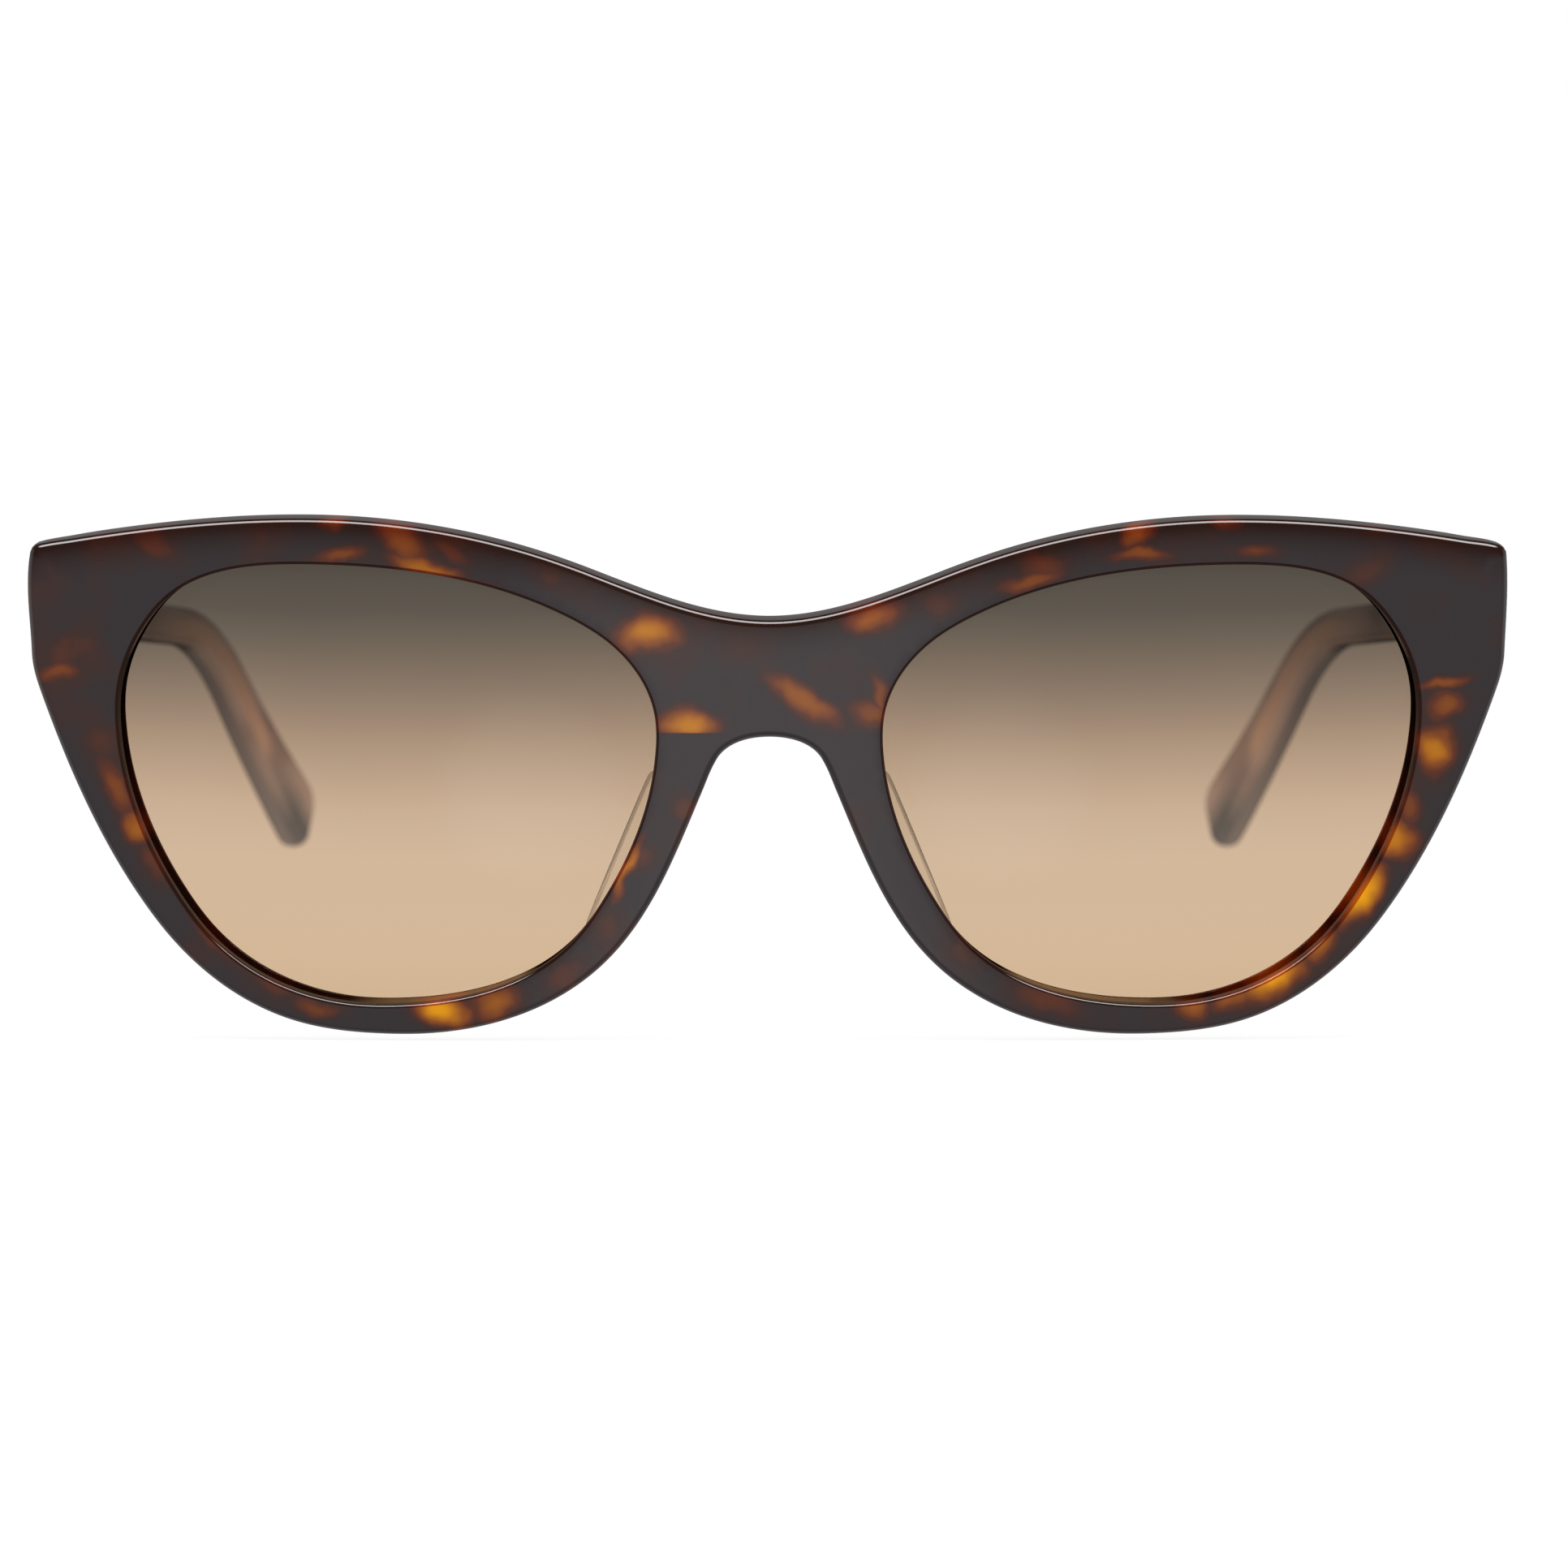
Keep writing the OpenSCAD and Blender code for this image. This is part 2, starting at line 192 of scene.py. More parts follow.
def smooth_loop(points, spacing):
    """A closed cubic curve through the corners, anticlockwise, with points at even spacing."""
    if signed_area(points) < 0:
        points = points[::-1]
    points = drawn_corners(points)
    gap = np.linalg.norm(np.roll(points, -1, 0) - points, axis=1)[:, None]
    step = (np.roll(points, -1, 0) - points) / gap
    before = np.roll(step, 1, 0)
    gap_before = np.roll(gap, 1, 0)
    slope = (step * gap_before + before * gap) / (gap + gap_before)
    slope /= np.linalg.norm(slope, axis=1)[:, None]
    far = np.roll(points, -1, 0)
    far_slope = np.roll(slope, -1, 0)
    dense = []
    for t in np.arange(0, 1, 0.1):
        dense.append(
            (2 * t**3 - 3 * t**2 + 1) * points
            + (t**3 - 2 * t**2 + t) * gap * slope
            + (3 * t**2 - 2 * t**3) * far
            + (t**3 - t**2) * gap * far_slope
        )
    dense = np.stack(dense, 1).reshape(-1, 2)
    closed = np.vstack([dense, dense[:1]])
    run = np.concatenate([[0], np.cumsum(np.linalg.norm(np.diff(closed, axis=0), axis=1))])
    count = int(round(run[-1] / spacing))
    at = np.linspace(0, run[-1], count, endpoint=False)
    return np.stack([np.interp(at, run, closed[:, k]) for k in (0, 1)], 1)


def outward(points):
    """Outward unit normals of an anticlockwise loop."""
    along = np.roll(points, -1, 0) - np.roll(points, 1, 0)
    along /= np.linalg.norm(along, axis=1)[:, None]
    return np.stack([along[:, 1], -along[:, 0]], 1)


def moved_out(loop, distance):
    """The loop, set out by a distance, or in where that is negative."""
    return loop + distance * outward(loop)


def inside(points, loop):
    """True for each point that lies inside the closed loop."""
    a, b = loop, np.roll(loop, -1, 0)
    x, y = points[:, :1], points[:, 1:]
    crosses = (a[:, 1] > y) != (b[:, 1] > y)
    rise = np.where(np.abs(b[:, 1] - a[:, 1]) < 1e-12, 1e-12, b[:, 1] - a[:, 1])
    left = x < (b[:, 0] - a[:, 0]) * (y - a[:, 1]) / rise + a[:, 0]
    return (crosses & left).sum(1) % 2 == 1


def nearest(points, loop):
    """Distance from each point to the nearest point of the loop."""
    gaps = np.linalg.norm(points[:, None] - loop[None], axis=2)
    return gaps.min(1)


def between(points, outer, holes):
    """True for each point inside the outer loop and outside the holes."""
    keep = inside(points, outer)
    for hole in holes:
        keep &= ~inside(points, hole)
    return keep


def even_grid(outer, spacing):
    """Points in rows of triangles over the whole of a loop's box."""
    near, far = outer.min(0), outer.max(0)
    rows = np.arange(near[1], far[1], spacing * math.sqrt(3) / 2)
    grid = [
        (x + (k % 2) * spacing / 2, y)
        for k, y in enumerate(rows)
        for x in np.arange(near[0], far[0], spacing)
    ]
    return np.array(grid)


def fill(outer, holes, spacing):
    """Points and triangles that fill a flat region. The loops' own points come first, in order."""
    loops = [outer] + holes
    grid = even_grid(outer, spacing)
    grid = grid[between(grid, outer, holes)]
    for loop in loops:
        grid = grid[nearest(grid, loop) > spacing * 0.6]
    points = np.vstack(loops + [grid])
    edges = []
    start = 0
    for loop in loops:
        n = len(loop)
        edges += [(start + i, start + (i + 1) % n) for i in range(n)]
        start += n
    flat = [Vector(p) / MM for p in points]
    _, _, faces, origin, _, _ = delaunay_2d_cdt(flat, edges, [], 0, 1e-7)
    back = {i: o[0] for i, o in enumerate(origin) if o}
    triangles = np.array([[back[i] for i in f] for f in faces])
    middle = points[triangles].mean(1)
    return points, triangles[between(middle, outer, holes)]


def add_object(name, data):
    """A new object in the scene."""
    made = bpy.data.objects.new(name, data)
    bpy.context.scene.collection.objects.link(made)
    return made


class Shell:
    """Collects rings and patches of points, in the row frame, into one closed mesh."""

    def __init__(self):
        self.points = []
        self.faces = []
        self.shares = {}

    def add(self, points):
        """Adds points and returns their numbers."""
        start = len(self.points)
        self.points += [tuple(p) for p in points]
        return list(range(start, start + len(points)))

    def mark(self, name, numbers, values):
        """Gives points a value of a mesh attribute; all others have 0."""
        for number, value in zip(numbers, values):
            self.shares.setdefault(name, {})[number] = float(value)

    def strip(self, a, b):
        """Faces between two closed rings of as many points."""
        n = len(a)
        self.faces += [(a[i], a[(i + 1) % n], b[(i + 1) % n], b[i]) for i in range(n)]

    def patch(self, numbers, triangles, flip):
        """Triangles whose corners count along the list of point numbers."""
        for t in triangles:
            corner = [numbers[i] for i in t]
            self.faces.append(corner[::-1] if flip else corner)

    def finish(self, name, body, material, slot, *nodes):
        """Makes the piece, which rides on a body and stands in for CAD nodes."""
        mesh = bpy.data.meshes.new(name)
        mesh.from_pydata(self.points, [], self.faces)
        mesh.validate()
        piece = add_object(name, mesh)
        recalculate_normals(mesh)
        mesh.shade_smooth()
        for label, values in self.shares.items():
            share = mesh.attributes.new(label, "FLOAT", "POINT")
            for number, value in values.items():
                share.data[number].value = value
        mesh.materials.append(material)
        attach(piece, body)
        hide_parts(*nodes)
        return piece


def recalculate_normals(mesh):
    """Turns every face of a closed mesh outwards."""
    work = bmesh.new()
    work.from_mesh(mesh)
    bmesh.ops.recalc_face_normals(work, faces=work.faces)
    work.to_mesh(mesh)
    work.free()


def polished_edge(width, bevel, slope=45, spread=9, steps=4):
    """(inset, depth) pairs across an edge: two tight rounds with a nearly flat bevel between.

    bevel is the bevel's share of the width, slope its angle and spread how far it bulges.
    """
    fine = 240
    s = (np.arange(fine) + 0.5) / fine
    side = (1 - bevel) / 2
    angle = np.interp(s, [0, side, 1 - side, 1], [0, slope - spread, slope + spread, 90])
    angle = np.radians(angle)
    inset = np.concatenate([[0], np.cumsum(np.cos(angle))]) * width / fine
    depth = np.concatenate([[0], np.cumsum(np.sin(angle))]) * width / fine
    shares = np.concatenate(
        [
            np.linspace(0, side, steps, endpoint=False),
            np.linspace(side, 1 - side, steps, endpoint=False),
            np.linspace(1 - side, 1, steps + 1),
        ]
    )
    picks = np.round(shares * fine).astype(int)
    return [(inset[-1] - inset[i], depth[i]) for i in picks]


# ---- Outlines, read from the CAD front ----


def front_outlines(spacing):
    """The outer outline in the front's x and z, and one lens opening in its own flat frame."""
    points, triangles = cad_triangles("front_frame")
    local = to_front(points)
    radius = np.hypot(local[:, 0], local[:, 1] - WRAP_R)
    on_face = np.abs(radius - WRAP_R) < 0.02 * MM
    loops = boundary_loops(triangles[on_face[triangles].all(1)])
    loops = sorted(loops, key=lambda loop: -abs(signed_area(local[loop][:, [0, 2]])))
    outer = smooth_loop(local[loops[0]][:, [0, 2]], spacing)
    left = next(loop for loop in loops[1:3] if local[loop][:, 0].mean() > 0)
    rim = local[left]
    flat_x = (rim[:, 0] - EYE_X) * math.cos(EYE_TURN)
    flat_x += (rim[:, 1] - face_y(EYE_X)) * math.sin(EYE_TURN)
    opening = smooth_loop(np.stack([flat_x, rim[:, 2] - EYE_Z], 1), spacing)
    return outer, opening


def eye_to_front(flat, depth, side):
    """Points of one lens opening's frame, at a depth, in the front's frame. side is 1 for left."""
    u, w = flat[:, 0], flat[:, 1]
    c, s = math.cos(EYE_TURN), math.sin(EYE_TURN)
    x = EYE_X + u * c - depth * s
    y = face_y(EYE_X) + u * s + depth * c
    return np.stack([side * x, y, w + EYE_Z], 1)


def depth_at_surface(flat, surface):
    """Depth in a lens opening's frame where the given surface of the front lies."""
    c, s = math.cos(EYE_TURN), math.sin(EYE_TURN)
    depth = np.zeros(len(flat))
    for _ in range(6):
        x = EYE_X + flat[:, 0] * c - depth * s
        depth = (surface(x) - face_y(EYE_X) - flat[:, 0] * s) / c
    return depth


def lens_depth(flat, behind):
    """Depth of a lens surface that lies the given distance behind the lens's front."""
    r = LENS_R - behind
    return LENS_R - LENS_PROUD - np.sqrt(r * r - (flat**2).sum(1))


# ---- Materials ----


def link(tree, source, target):
    tree.links.new(source, target)


def feed(tree, target, value):
    """Links a socket to an input, or sets the input to a number, colour or vector."""
    if hasattr(value, "node"):
        link(tree, value, target)
    elif target.type == "RGBA":
        target.default_value = (*value, 1)
    else:
        target.default_value = value


def node(tree, kind, inputs=None, **settings):
    """A node with these settings, and with its inputs fed by name or number."""
    made = tree.nodes.new(kind)
    for key, value in settings.items():
        setattr(made, key, value)
    for key, value in (inputs or {}).items():
        feed(tree, made.inputs[key], value)
    return made


def new_material(name):
    material = bpy.data.materials.new(name)
    material.use_nodes = True
    material.node_tree.nodes.clear()
    return material, material.node_tree


def show(tree, shader, kind="ShaderNodeOutputMaterial"):
    """Makes the shader the one that the tree shows."""
    node(tree, kind, {"Surface": shader.outputs[0]})


def math_node(tree, operation, a, b=None, c=None, clamp=False):
    """A math node; a, b and c are sockets or numbers. Returns its output."""
    values = {i: value for i, value in enumerate((a, b, c)) if value is not None}
    made = node(tree, "ShaderNodeMath", values, operation=operation, use_clamp=clamp)
    return made.outputs[0]


def vector_math(tree, operation, a, b=None, output="Vector"):
    """A vector math node; a is a socket, b a socket or three numbers. Returns one output."""
    values = {0: a} if b is None else {0: a, 1: b}
    return node(tree, "ShaderNodeVectorMath", values, operation=operation).outputs[output]


def place(tree):
    """Position in the row frame at rest, in metres."""
    return node(tree, "ShaderNodeTexCoord").outputs["Object"]


def share_of(tree, name):
    """A mesh attribute of the piece."""
    return node(tree, "ShaderNodeAttribute", attribute_name=name).outputs["Fac"]


def noise(tree, vector, scale, detail=2.0, colour=False):
    made = node(tree, "ShaderNodeTexNoise", {"Scale": scale, "Detail": detail, "Vector": vector})
    return made.outputs["Color" if colour else "Fac"]


def ramp(tree, value, stops):
    """The colour between (place, colour) stops that belongs to a value."""
    made = node(tree, "ShaderNodeValToRGB", {"Fac": value})
    elements = made.color_ramp.elements
    while len(elements) < len(stops):
        elements.new(0.5)
    for element, (at, colour) in zip(elements, stops):
        element.position = at
        element.color = (*colour, 1)
    return made.outputs["Color"]


def mix_colours(tree, share, a, b, blend_type="MIX"):
    """a where share is 0 and b where it is 1. Both are sockets or plain colours."""
    values = {"Factor": share, "A": a, "B": b}
    made = node(tree, "ShaderNodeMix", data_type="RGBA", blend_type=blend_type, inputs=values)
    return made.outputs["Result"]


def smooth_step(tree, value, low, high, top=1.0):
    """0 up to low, top from high on, and smooth between; high may be the smaller of the two."""
    values = {"Value": value, "From Min": low, "From Max": high, "To Max": top}
    made = node(tree, "ShaderNodeMapRange", interpolation_type="SMOOTHSTEP", inputs=values)
    return made.outputs["Result"]


def mapped(tree, vector, scale=(1, 1, 1), turn=(0, 0, 0)):
    """vector, scaled and then turned."""
    values = {"Vector": vector, "Rotation": turn, "Scale": scale}
    return node(tree, "ShaderNodeMapping", values, vector_type="POINT").outputs[0]


def wobble(tree, vector, reach):
    """vector, pushed about by noise, so that outlines drawn with it are irregular."""
    push = noise(tree, vector, WOBBLE_SCALE, 2.0, colour=True)
    push = vector_math(tree, "SUBTRACT", push, (0.5, 0.5, 0.5))
    push = vector_math(tree, "MULTIPLY", push, (reach, reach, reach))
    return vector_math(tree, "ADD", vector, push)


def add_bump(tree, shader, height, strength, distance):
    """Raises a shader's surface by a pattern."""
    values = {"Strength": strength, "Distance": distance, "Height": height}
    bump = node(tree, "ShaderNodeBump", values)
    link(tree, bump.outputs["Normal"], shader.inputs["Normal"])


# Flecks of the front: x, z, half length, half width in mm, angle in degrees, strength.
FLECKS = [
    (-59.4, 21.9, 3.2, 1.7, -40, 0.3),
    (-48.5, 23.4, 1.5, 1.2, 0, 0.16),
    (-41.6, 24.2, 1.5, 1, 0, 0.55),
    (-35.4, 22.6, 3.4, 1.9, -48, 0.54),
    (-30.6, 21.6, 2.4, 1, -35, 0.32),
    (-41.3, 20.8, 2.8, 0.9, 4, 0.42),
    (-33.2, 19.9, 3.6, 1, -10, 0.62),
    (-31, 18.9, 4.6, 0.6, -14, 0.34),
    (-20.9, 19.3, 2.2, 1.4, -20, 0.22),
    (-11.6, 13.6, 3.3, 2, 4, 0.77),
    (-2.5, 12.4, 3.4, 2.2, 0, 0.17),
    (-7.7, 4.9, 3.1, 1.5, 0, 0.76),
    (3.2, 7.2, 4.6, 1.4, -37, 0.54),
    (9.8, 15.3, 3, 1.6, 4, 0.68),
    (9.6, 5.6, 2.6, 1.6, -10, 0.42),
    (10.6, 7.4, 0.9, 2.8, 10, 0.42),
    (15.9, 16.7, 2.4, 1.6, 0, 0.24),
    (26.1, 20.1, 2.6, 1.7, 0, 0.34),
    (25, 18.6, 3.4, 0.9, 14, 0.44),
    (35.5, 23.2, 2.2, 1.7, 70, 0.66),
    (43.6, 24.2, 2, 1.1, 0, 0.42),
    (35.9, 20.7, 3.2, 0.8, 6, 0.48),
    (46.8, 21.2, 2.6, 0.8, -4, 0.36),
    (58.9, 23.6, 2.4, 1.4, 0, 0.24),
    (57.6, 19.4, 3, 1.8, 30, 0.22),
    (65.4, 8.1, 2.8, 0.6, 6, 0.46),
    (65.7, 6, 2.2, 1.6, 0, 0.46),
    (64.8, 1.7, 2.1, 2.6, 10, 0.72),
    (61.2, -2, 2.2, 2.4, 0, 0.3),
    (62.2, -4, 1.7, 1.7, 0, 0.4),
    (60.9, -7, 2.2, 2.4, 50, 0.74),
    (57.3, -12.4, 3.4, 2, 50, 1),
    (55.9, -15, 1.6, 1.4, 50, 0.36),
    (53.4, -17.2, 2.4, 1.9, 48, 0.64),
    (48.8, -20.2, 3.8, 2.5, 28, 1),
    (45.4, -22.6, 2.6, 1.5, 20, 0.52),
    (41.1, -23.2, 2, 1.5, 0, 0.56),
    (27, -22.4, 4.4, 1.6, -20, 0.29),
    (18.6, -17.4, 2.6, 1.6, -50, 0.2),
    (-69.2, 8.8, 2.2, 1, 0, 0.4),
    (-64.8, 2.2, 2.2, 2.2, 0, 0.22),
    (-63.4, -2.2, 3.8, 1.5, -62, 0.42),
    (-61.2, -6, 2, 1.7, -40, 0.58),
    (-59.8, -9.6, 2.4, 1.4, -60, 0.3),
    (-53.7, -16.9, 3.4, 1.3, -48, 0.3),
    (-48, -21.4, 3, 1.2, -35, 0.26),
    (-43.8, -23.5, 2.6, 0.9, -12, 0.36),
    (-31.7, -23.4, 2.7, 1.9, 0, 0.93),
    (-26.6, -22.6, 2.8, 1.7, 14, 0.56),
    (-19.8, -19.8, 2.6, 1.6, 40, 0.24),
    (-13.6, -9.2, 3.4, 0.7, 66, 0.66),
    (-12.4, -8, 1.9, 1.6, 60, 0.26),
    (-8.3, -3.2, 1.4, 1.4, 0, 0.26),
    (-15.4, -15, 2.4, 1.2, 60, 0.22),
]

# The pads' blocks start below this height, and the flecks near the bridge stop dead there.
BLOCK_Z = 3.9 * MM
BLOCK_X = 13.5 * MM
BLOCK_BLUR = 0.12 * MM
BLOCK_BAND = 2.5 * MM  # height of the band that stays free of flecks

ACETATE_COLOURS = [
    (0.0, (0.033, 0.027, 0.029)),
    (0.16, (0.045, 0.025, 0.022)),
    (0.32, (0.100, 0.030, 0.017)),
    (0.54, (0.235, 0.070, 0.013)),
    (0.76, (0.430, 0.155, 0.010)),
    (1.0, (0.720, 0.300, 0.004)),
]

# Translucent lining of the temples, by the strength of its clouds.
TEMPLE_LINING = [
    (0.30, (0.42, 0.36, 0.38)),
    (0.45, (0.54, 0.465, 0.48)),
    (0.60, (0.61, 0.53, 0.53)),
]

# Mesh attributes. The first is painted shade: 1 on the walls of the front's lens openings and
# where its polished outer edge looks up, fading out down the face. On a temple, ACROSS runs from 0
# on the outer face to
# 1 on the inner face, WIRE is 1 along the core wire's line, and the last is painted shade, 1 low
# on each tip.
EDGE_SHADE = "edge"
ACROSS = "across"
WIRE = "wire"
TIP_SHADE = "tip"

EDGE_SHADE_TINT = (0.5, 0.22, 0.14)  # painted shade: the share of its colour that acetate keeps on the shaded edges and walls
WIRE_GLOW = (0.84, 0.64, 0.56)  # the core wire, seen through the lining
SEAM_SMOKE = (0.27, 0.28, 0.33)  # edges, where both sheets overlap
TIP_SHADE_TINT = (0.14, 0.165, 0.21)  # painted shade, low on each tip

# Sizes of the patterns, as noise scales: cycles in a metre.
POLISH_SCALE = 900
RIPPLE_SCALE = 260
CLOUD_SCALE = 110
PATCH_SCALE = 130
LINING_SCALE = 120
WOBBLE_SCALE = 260


def fleck(tree, vector, spot):
    """Strength of one soft oval fleck, given as a row of FLECKS."""
    x, z, long, wide, angle, strength = spot
    values = {
        "Vector": vector,
        "Location": (x * MM, 0, z * MM),
        "Rotation": (0, math.radians(-angle), 0),
        "Scale": (long * MM, 1000 * MM, wide * MM),
    }
    inner = node(tree, "ShaderNodeMapping", vector_type="TEXTURE", inputs=values).outputs[0]
    away = vector_math(tree, "LENGTH", inner, output="Value")
    return smooth_step(tree, away, 1.6, 0.1, strength)


def cloudiness(tree, where, share):
    """Faint reddish-brown clouds in the dark ground."""
    lifted = math_node(tree, "SUBTRACT", noise(tree, where, CLOUD_SCALE, 3.0), 0.52)
    return math_node(tree, "MULTIPLY", lifted, share, clamp=True)


def block_edge(tree, vector):
    """0 where a pad's block backs the bridge and hides the flecks' lower ends, else 1."""
    split = node(tree, "ShaderNodeSeparateXYZ", {0: vector})
    up = split.outputs["Z"]
    sideways = math_node(tree, "ABSOLUTE", split.outputs["X"])
    beside = math_node(tree, "GREATER_THAN", sideways, BLOCK_X)
    above = smooth_step(tree, up, BLOCK_Z - BLOCK_BLUR, BLOCK_Z + BLOCK_BLUR)
    below = math_node(tree, "LESS_THAN", up, BLOCK_Z - BLOCK_BAND)
    return math_node(tree, "MAXIMUM", math_node(tree, "MAXIMUM", above, below), beside)


def acetate_surface(tree, colour):
    """Polished acetate of a colour, darkened by painted shade where the piece's edge attribute is
    set.
    """
    where = place(tree)
    polish = noise(tree, where, POLISH_SCALE, 3.0)
    # painted shade: the colour is multiplied down where the edge attribute is set
    values = {
        "Base Color": mix_colours(tree, share_of(tree, EDGE_SHADE), colour, EDGE_SHADE_TINT, "MULTIPLY"),
        "Roughness": math_node(tree, "MULTIPLY_ADD", polish, 0.05, 0.035),
        "IOR": 1.49,
    }
    shader = node(tree, "ShaderNodeBsdfPrincipled", values)
    add_bump(tree, shader, noise(tree, where, RIPPLE_SCALE, 2.0), 0.035, 0.2 * MM)
    show(tree, shader)


def tortoise_front():
    """Dark tortoise with the flecks that the front has."""
    material, tree = new_material("tortoise_front")
    where = place(tree)
    upright = mapped(tree, where, turn=(-LEAN, 0, 0))
    loose = wobble(tree, upright, 2.4 * MM)
    amount = cloudiness(tree, where, 1.1)
    for spot in FLECKS:
        amount = math_node(tree, "MAXIMUM", amount, fleck(tree, loose, spot))
    amount = math_node(tree, "MULTIPLY", amount, block_edge(tree, upright))
    acetate_surface(tree, ramp(tree, amount, ACETATE_COLOURS))
    return material


def tortoise_temple():
    """Two sheets: dark tortoise outside and a translucent light brown one on the head's side."""
    material, tree = new_material("tortoise_temple")
    where = place(tree)
    loose = wobble(tree, mapped(tree, where, (0.6, 0.55, 1.0)), 1.0 * MM)
    bright = smooth_step(tree, noise(tree, loose, PATCH_SCALE, 1.0), 0.52, 0.84, 0.85)
    amount = math_node(tree, "MAXIMUM", bright, cloudiness(tree, where, 1.4))
    dark = ramp(tree, amount, ACETATE_COLOURS)
    drawn = mapped(tree, where, (1, 0.2, 1))
    pale = ramp(tree, noise(tree, drawn, LINING_SCALE, 1.0), TEMPLE_LINING)
    pale = mix_colours(tree, share_of(tree, WIRE), pale, WIRE_GLOW)
    # painted shade low on each tip
    pale = mix_colours(tree, share_of(tree, TIP_SHADE), pale, TIP_SHADE_TINT)
    across = share_of(tree, ACROSS)
    pale = mix_colours(tree, smooth_step(tree, across, 0.38, 0.76), SEAM_SMOKE, pale)
    acetate_surface(tree, mix_colours(tree, smooth_step(tree, across, 0.06, 0.22), dark, pale))
    return material


STRAIGHT_ON = 0.04  # share of light that lens plastic and acetate reflect when met square on


def facing(tree):
    """0 where a surface faces the viewer, up to 1 where it is seen edge on."""
    return node(tree, "ShaderNodeLayerWeight", {"Blend": 0.5}).outputs["Facing"]


def schlick(tree):
    """Share of light a clear polished surface reflects, more towards grazing."""
    fifth = math_node(tree, "POWER", facing(tree), 5)
    return math_node(tree, "MULTIPLY_ADD", fifth, 1 - STRAIGHT_ON, STRAIGHT_ON)


def see_through(tree, tint, share):
    """Clear surface of a tint that reflects the given share of light."""
    clear = node(tree, "ShaderNodeBsdfTransparent", {"Color": tint})
    gloss = node(tree, "ShaderNodeBsdfGlossy", {"Roughness": 0.02})
    values = {"Fac": share, 1: clear.outputs[0], 2: gloss.outputs[0]}
    show(tree, node(tree, "ShaderNodeMixShader", values))


TINT_FOOT = -22 * MM  # heights on the front between which the lens tint is graded
TINT_TOP = 21 * MM

# Light that a whole lens lets through, from TINT_FOOT (0) to TINT_TOP (1).
LENS_TINT = [
    (0.0, (0.66, 0.482, 0.325)),
    (0.09, (0.676, 0.502, 0.343)),
    (0.19, (0.685, 0.512, 0.363)),
    (0.30, (0.685, 0.514, 0.371)),
    (0.36, (0.655, 0.492, 0.355)),
    (0.42, (0.620, 0.462, 0.333)),
    (0.47, (0.565, 0.415, 0.295)),
    (0.53, (0.490, 0.357, 0.254)),
    (0.58, (0.425, 0.307, 0.219)),
    (0.64, (0.342, 0.250, 0.185)),
    (0.69, (0.280, 0.208, 0.157)),
    (0.75, (0.215, 0.166, 0.127)),
    (0.81, (0.160, 0.131, 0.103)),
    (0.87, (0.118, 0.101, 0.083)),
    (1.0, (0.082, 0.072, 0.062)),
]


def film_tint():
    """The gradient. Light crosses two faces of the film, so each passes the tint's square root."""
    material, tree = new_material("polarising_film")
    up = vector_math(tree, "DOT_PRODUCT", place(tree), FRONT_AXES[2], "Value")
    values = {"Value": up, "From Min": TINT_FOOT, "From Max": TINT_TOP}
    height = node(tree, "ShaderNodeMapRange", values).outputs["Result"]
    mottled = math_node(tree, "MULTIPLY_ADD", noise(tree, place(tree), 60, 1.0), 0.02, -0.01)
    height = math_node(tree, "ADD", height, mottled)
    root = node(tree, "ShaderNodeGamma", {"Gamma": 0.5, "Color": ramp(tree, height, LENS_TINT)})
    show(tree, node(tree, "ShaderNodeBsdfTransparent", {"Color": root.outputs[0]}))
    return material


def wafer_glass(name, outer_side):
    """Clear lens wafer. Only its outer face, with outer_side the sign of its y, meets air."""
    material, tree = new_material(name)
    geometry = node(tree, "ShaderNodeNewGeometry").outputs
    local = node(tree, "ShaderNodeVectorTransform", {0: geometry["True Normal"]})
    local.vector_type = "NORMAL"
    local.convert_from = "WORLD"
    local.convert_to = "OBJECT"
    split = node(tree, "ShaderNodeSeparateXYZ", {0: local.outputs[0]})
    outer = math_node(tree, "MULTIPLY", split.outputs["Y"], outer_side)
    outer = math_node(tree, "GREATER_THAN", outer, 0.3)
    entering = math_node(tree, "SUBTRACT", 1.0, geometry["Backfacing"])
    outer = math_node(tree, "MULTIPLY", outer, entering)
    share = math_node(tree, "MULTIPLY", schlick(tree), outer)
    see_through(tree, (0.995, 0.99, 0.98), share)
    return material


# Light that a pad lets through, from facing the viewer (0) to edge on (1).
CRYSTAL_TINT = [
    (0.0, (0.992, 0.985, 0.97)),
    (0.93, (0.985, 0.972, 0.95)),
    (0.982, (0.80, 0.75, 0.69)),
    (1.0, (0.34, 0.29, 0.25)),
]


def crystal():
    """Clear acetate: shaded towards its edges, where the real pad bends what is behind it."""
    material, tree = new_material("crystal_acetate")
    haze = math_node(tree, "MULTIPLY_ADD", noise(tree, place(tree), 400, 2.0), 0.12, -0.06)
    edge = math_node(tree, "ADD", facing(tree), haze)
    see_through(tree, ramp(tree, edge, CRYSTAL_TINT), schlick(tree))
    return material


GRAIN_SQUASH = 0.12  # the metals' drawn grain: its width over its length
GRAIN_DARK = 0.86  # its darkest lines keep this share of the colour
POLISH_SPREAD = 0.16  # difference in roughness between the grain's lines


def metal(name, colour, roughness, grain):
    """Satin metal with fine drawn grain and slightly uneven polish."""
    material, tree = new_material(name)
    streaks = noise(tree, mapped(tree, place(tree), (1, GRAIN_SQUASH, 1)), grain, 3.0)
    tone = [(0.3, tuple(GRAIN_DARK * c for c in colour)), (0.7, colour)]
    smoothest = roughness - POLISH_SPREAD / 2
    values = {
        "Base Color": ramp(tree, streaks, tone),
        "Metallic": 1,
        "Roughness": math_node(tree, "MULTIPLY_ADD", streaks, POLISH_SPREAD, smoothest),
    }
    shader = node(tree, "ShaderNodeBsdfPrincipled", values)
    add_bump(tree, shader, streaks, 0.15, 0.02 * MM)
    show(tree, shader)
    return material


# ---- Pieces ----

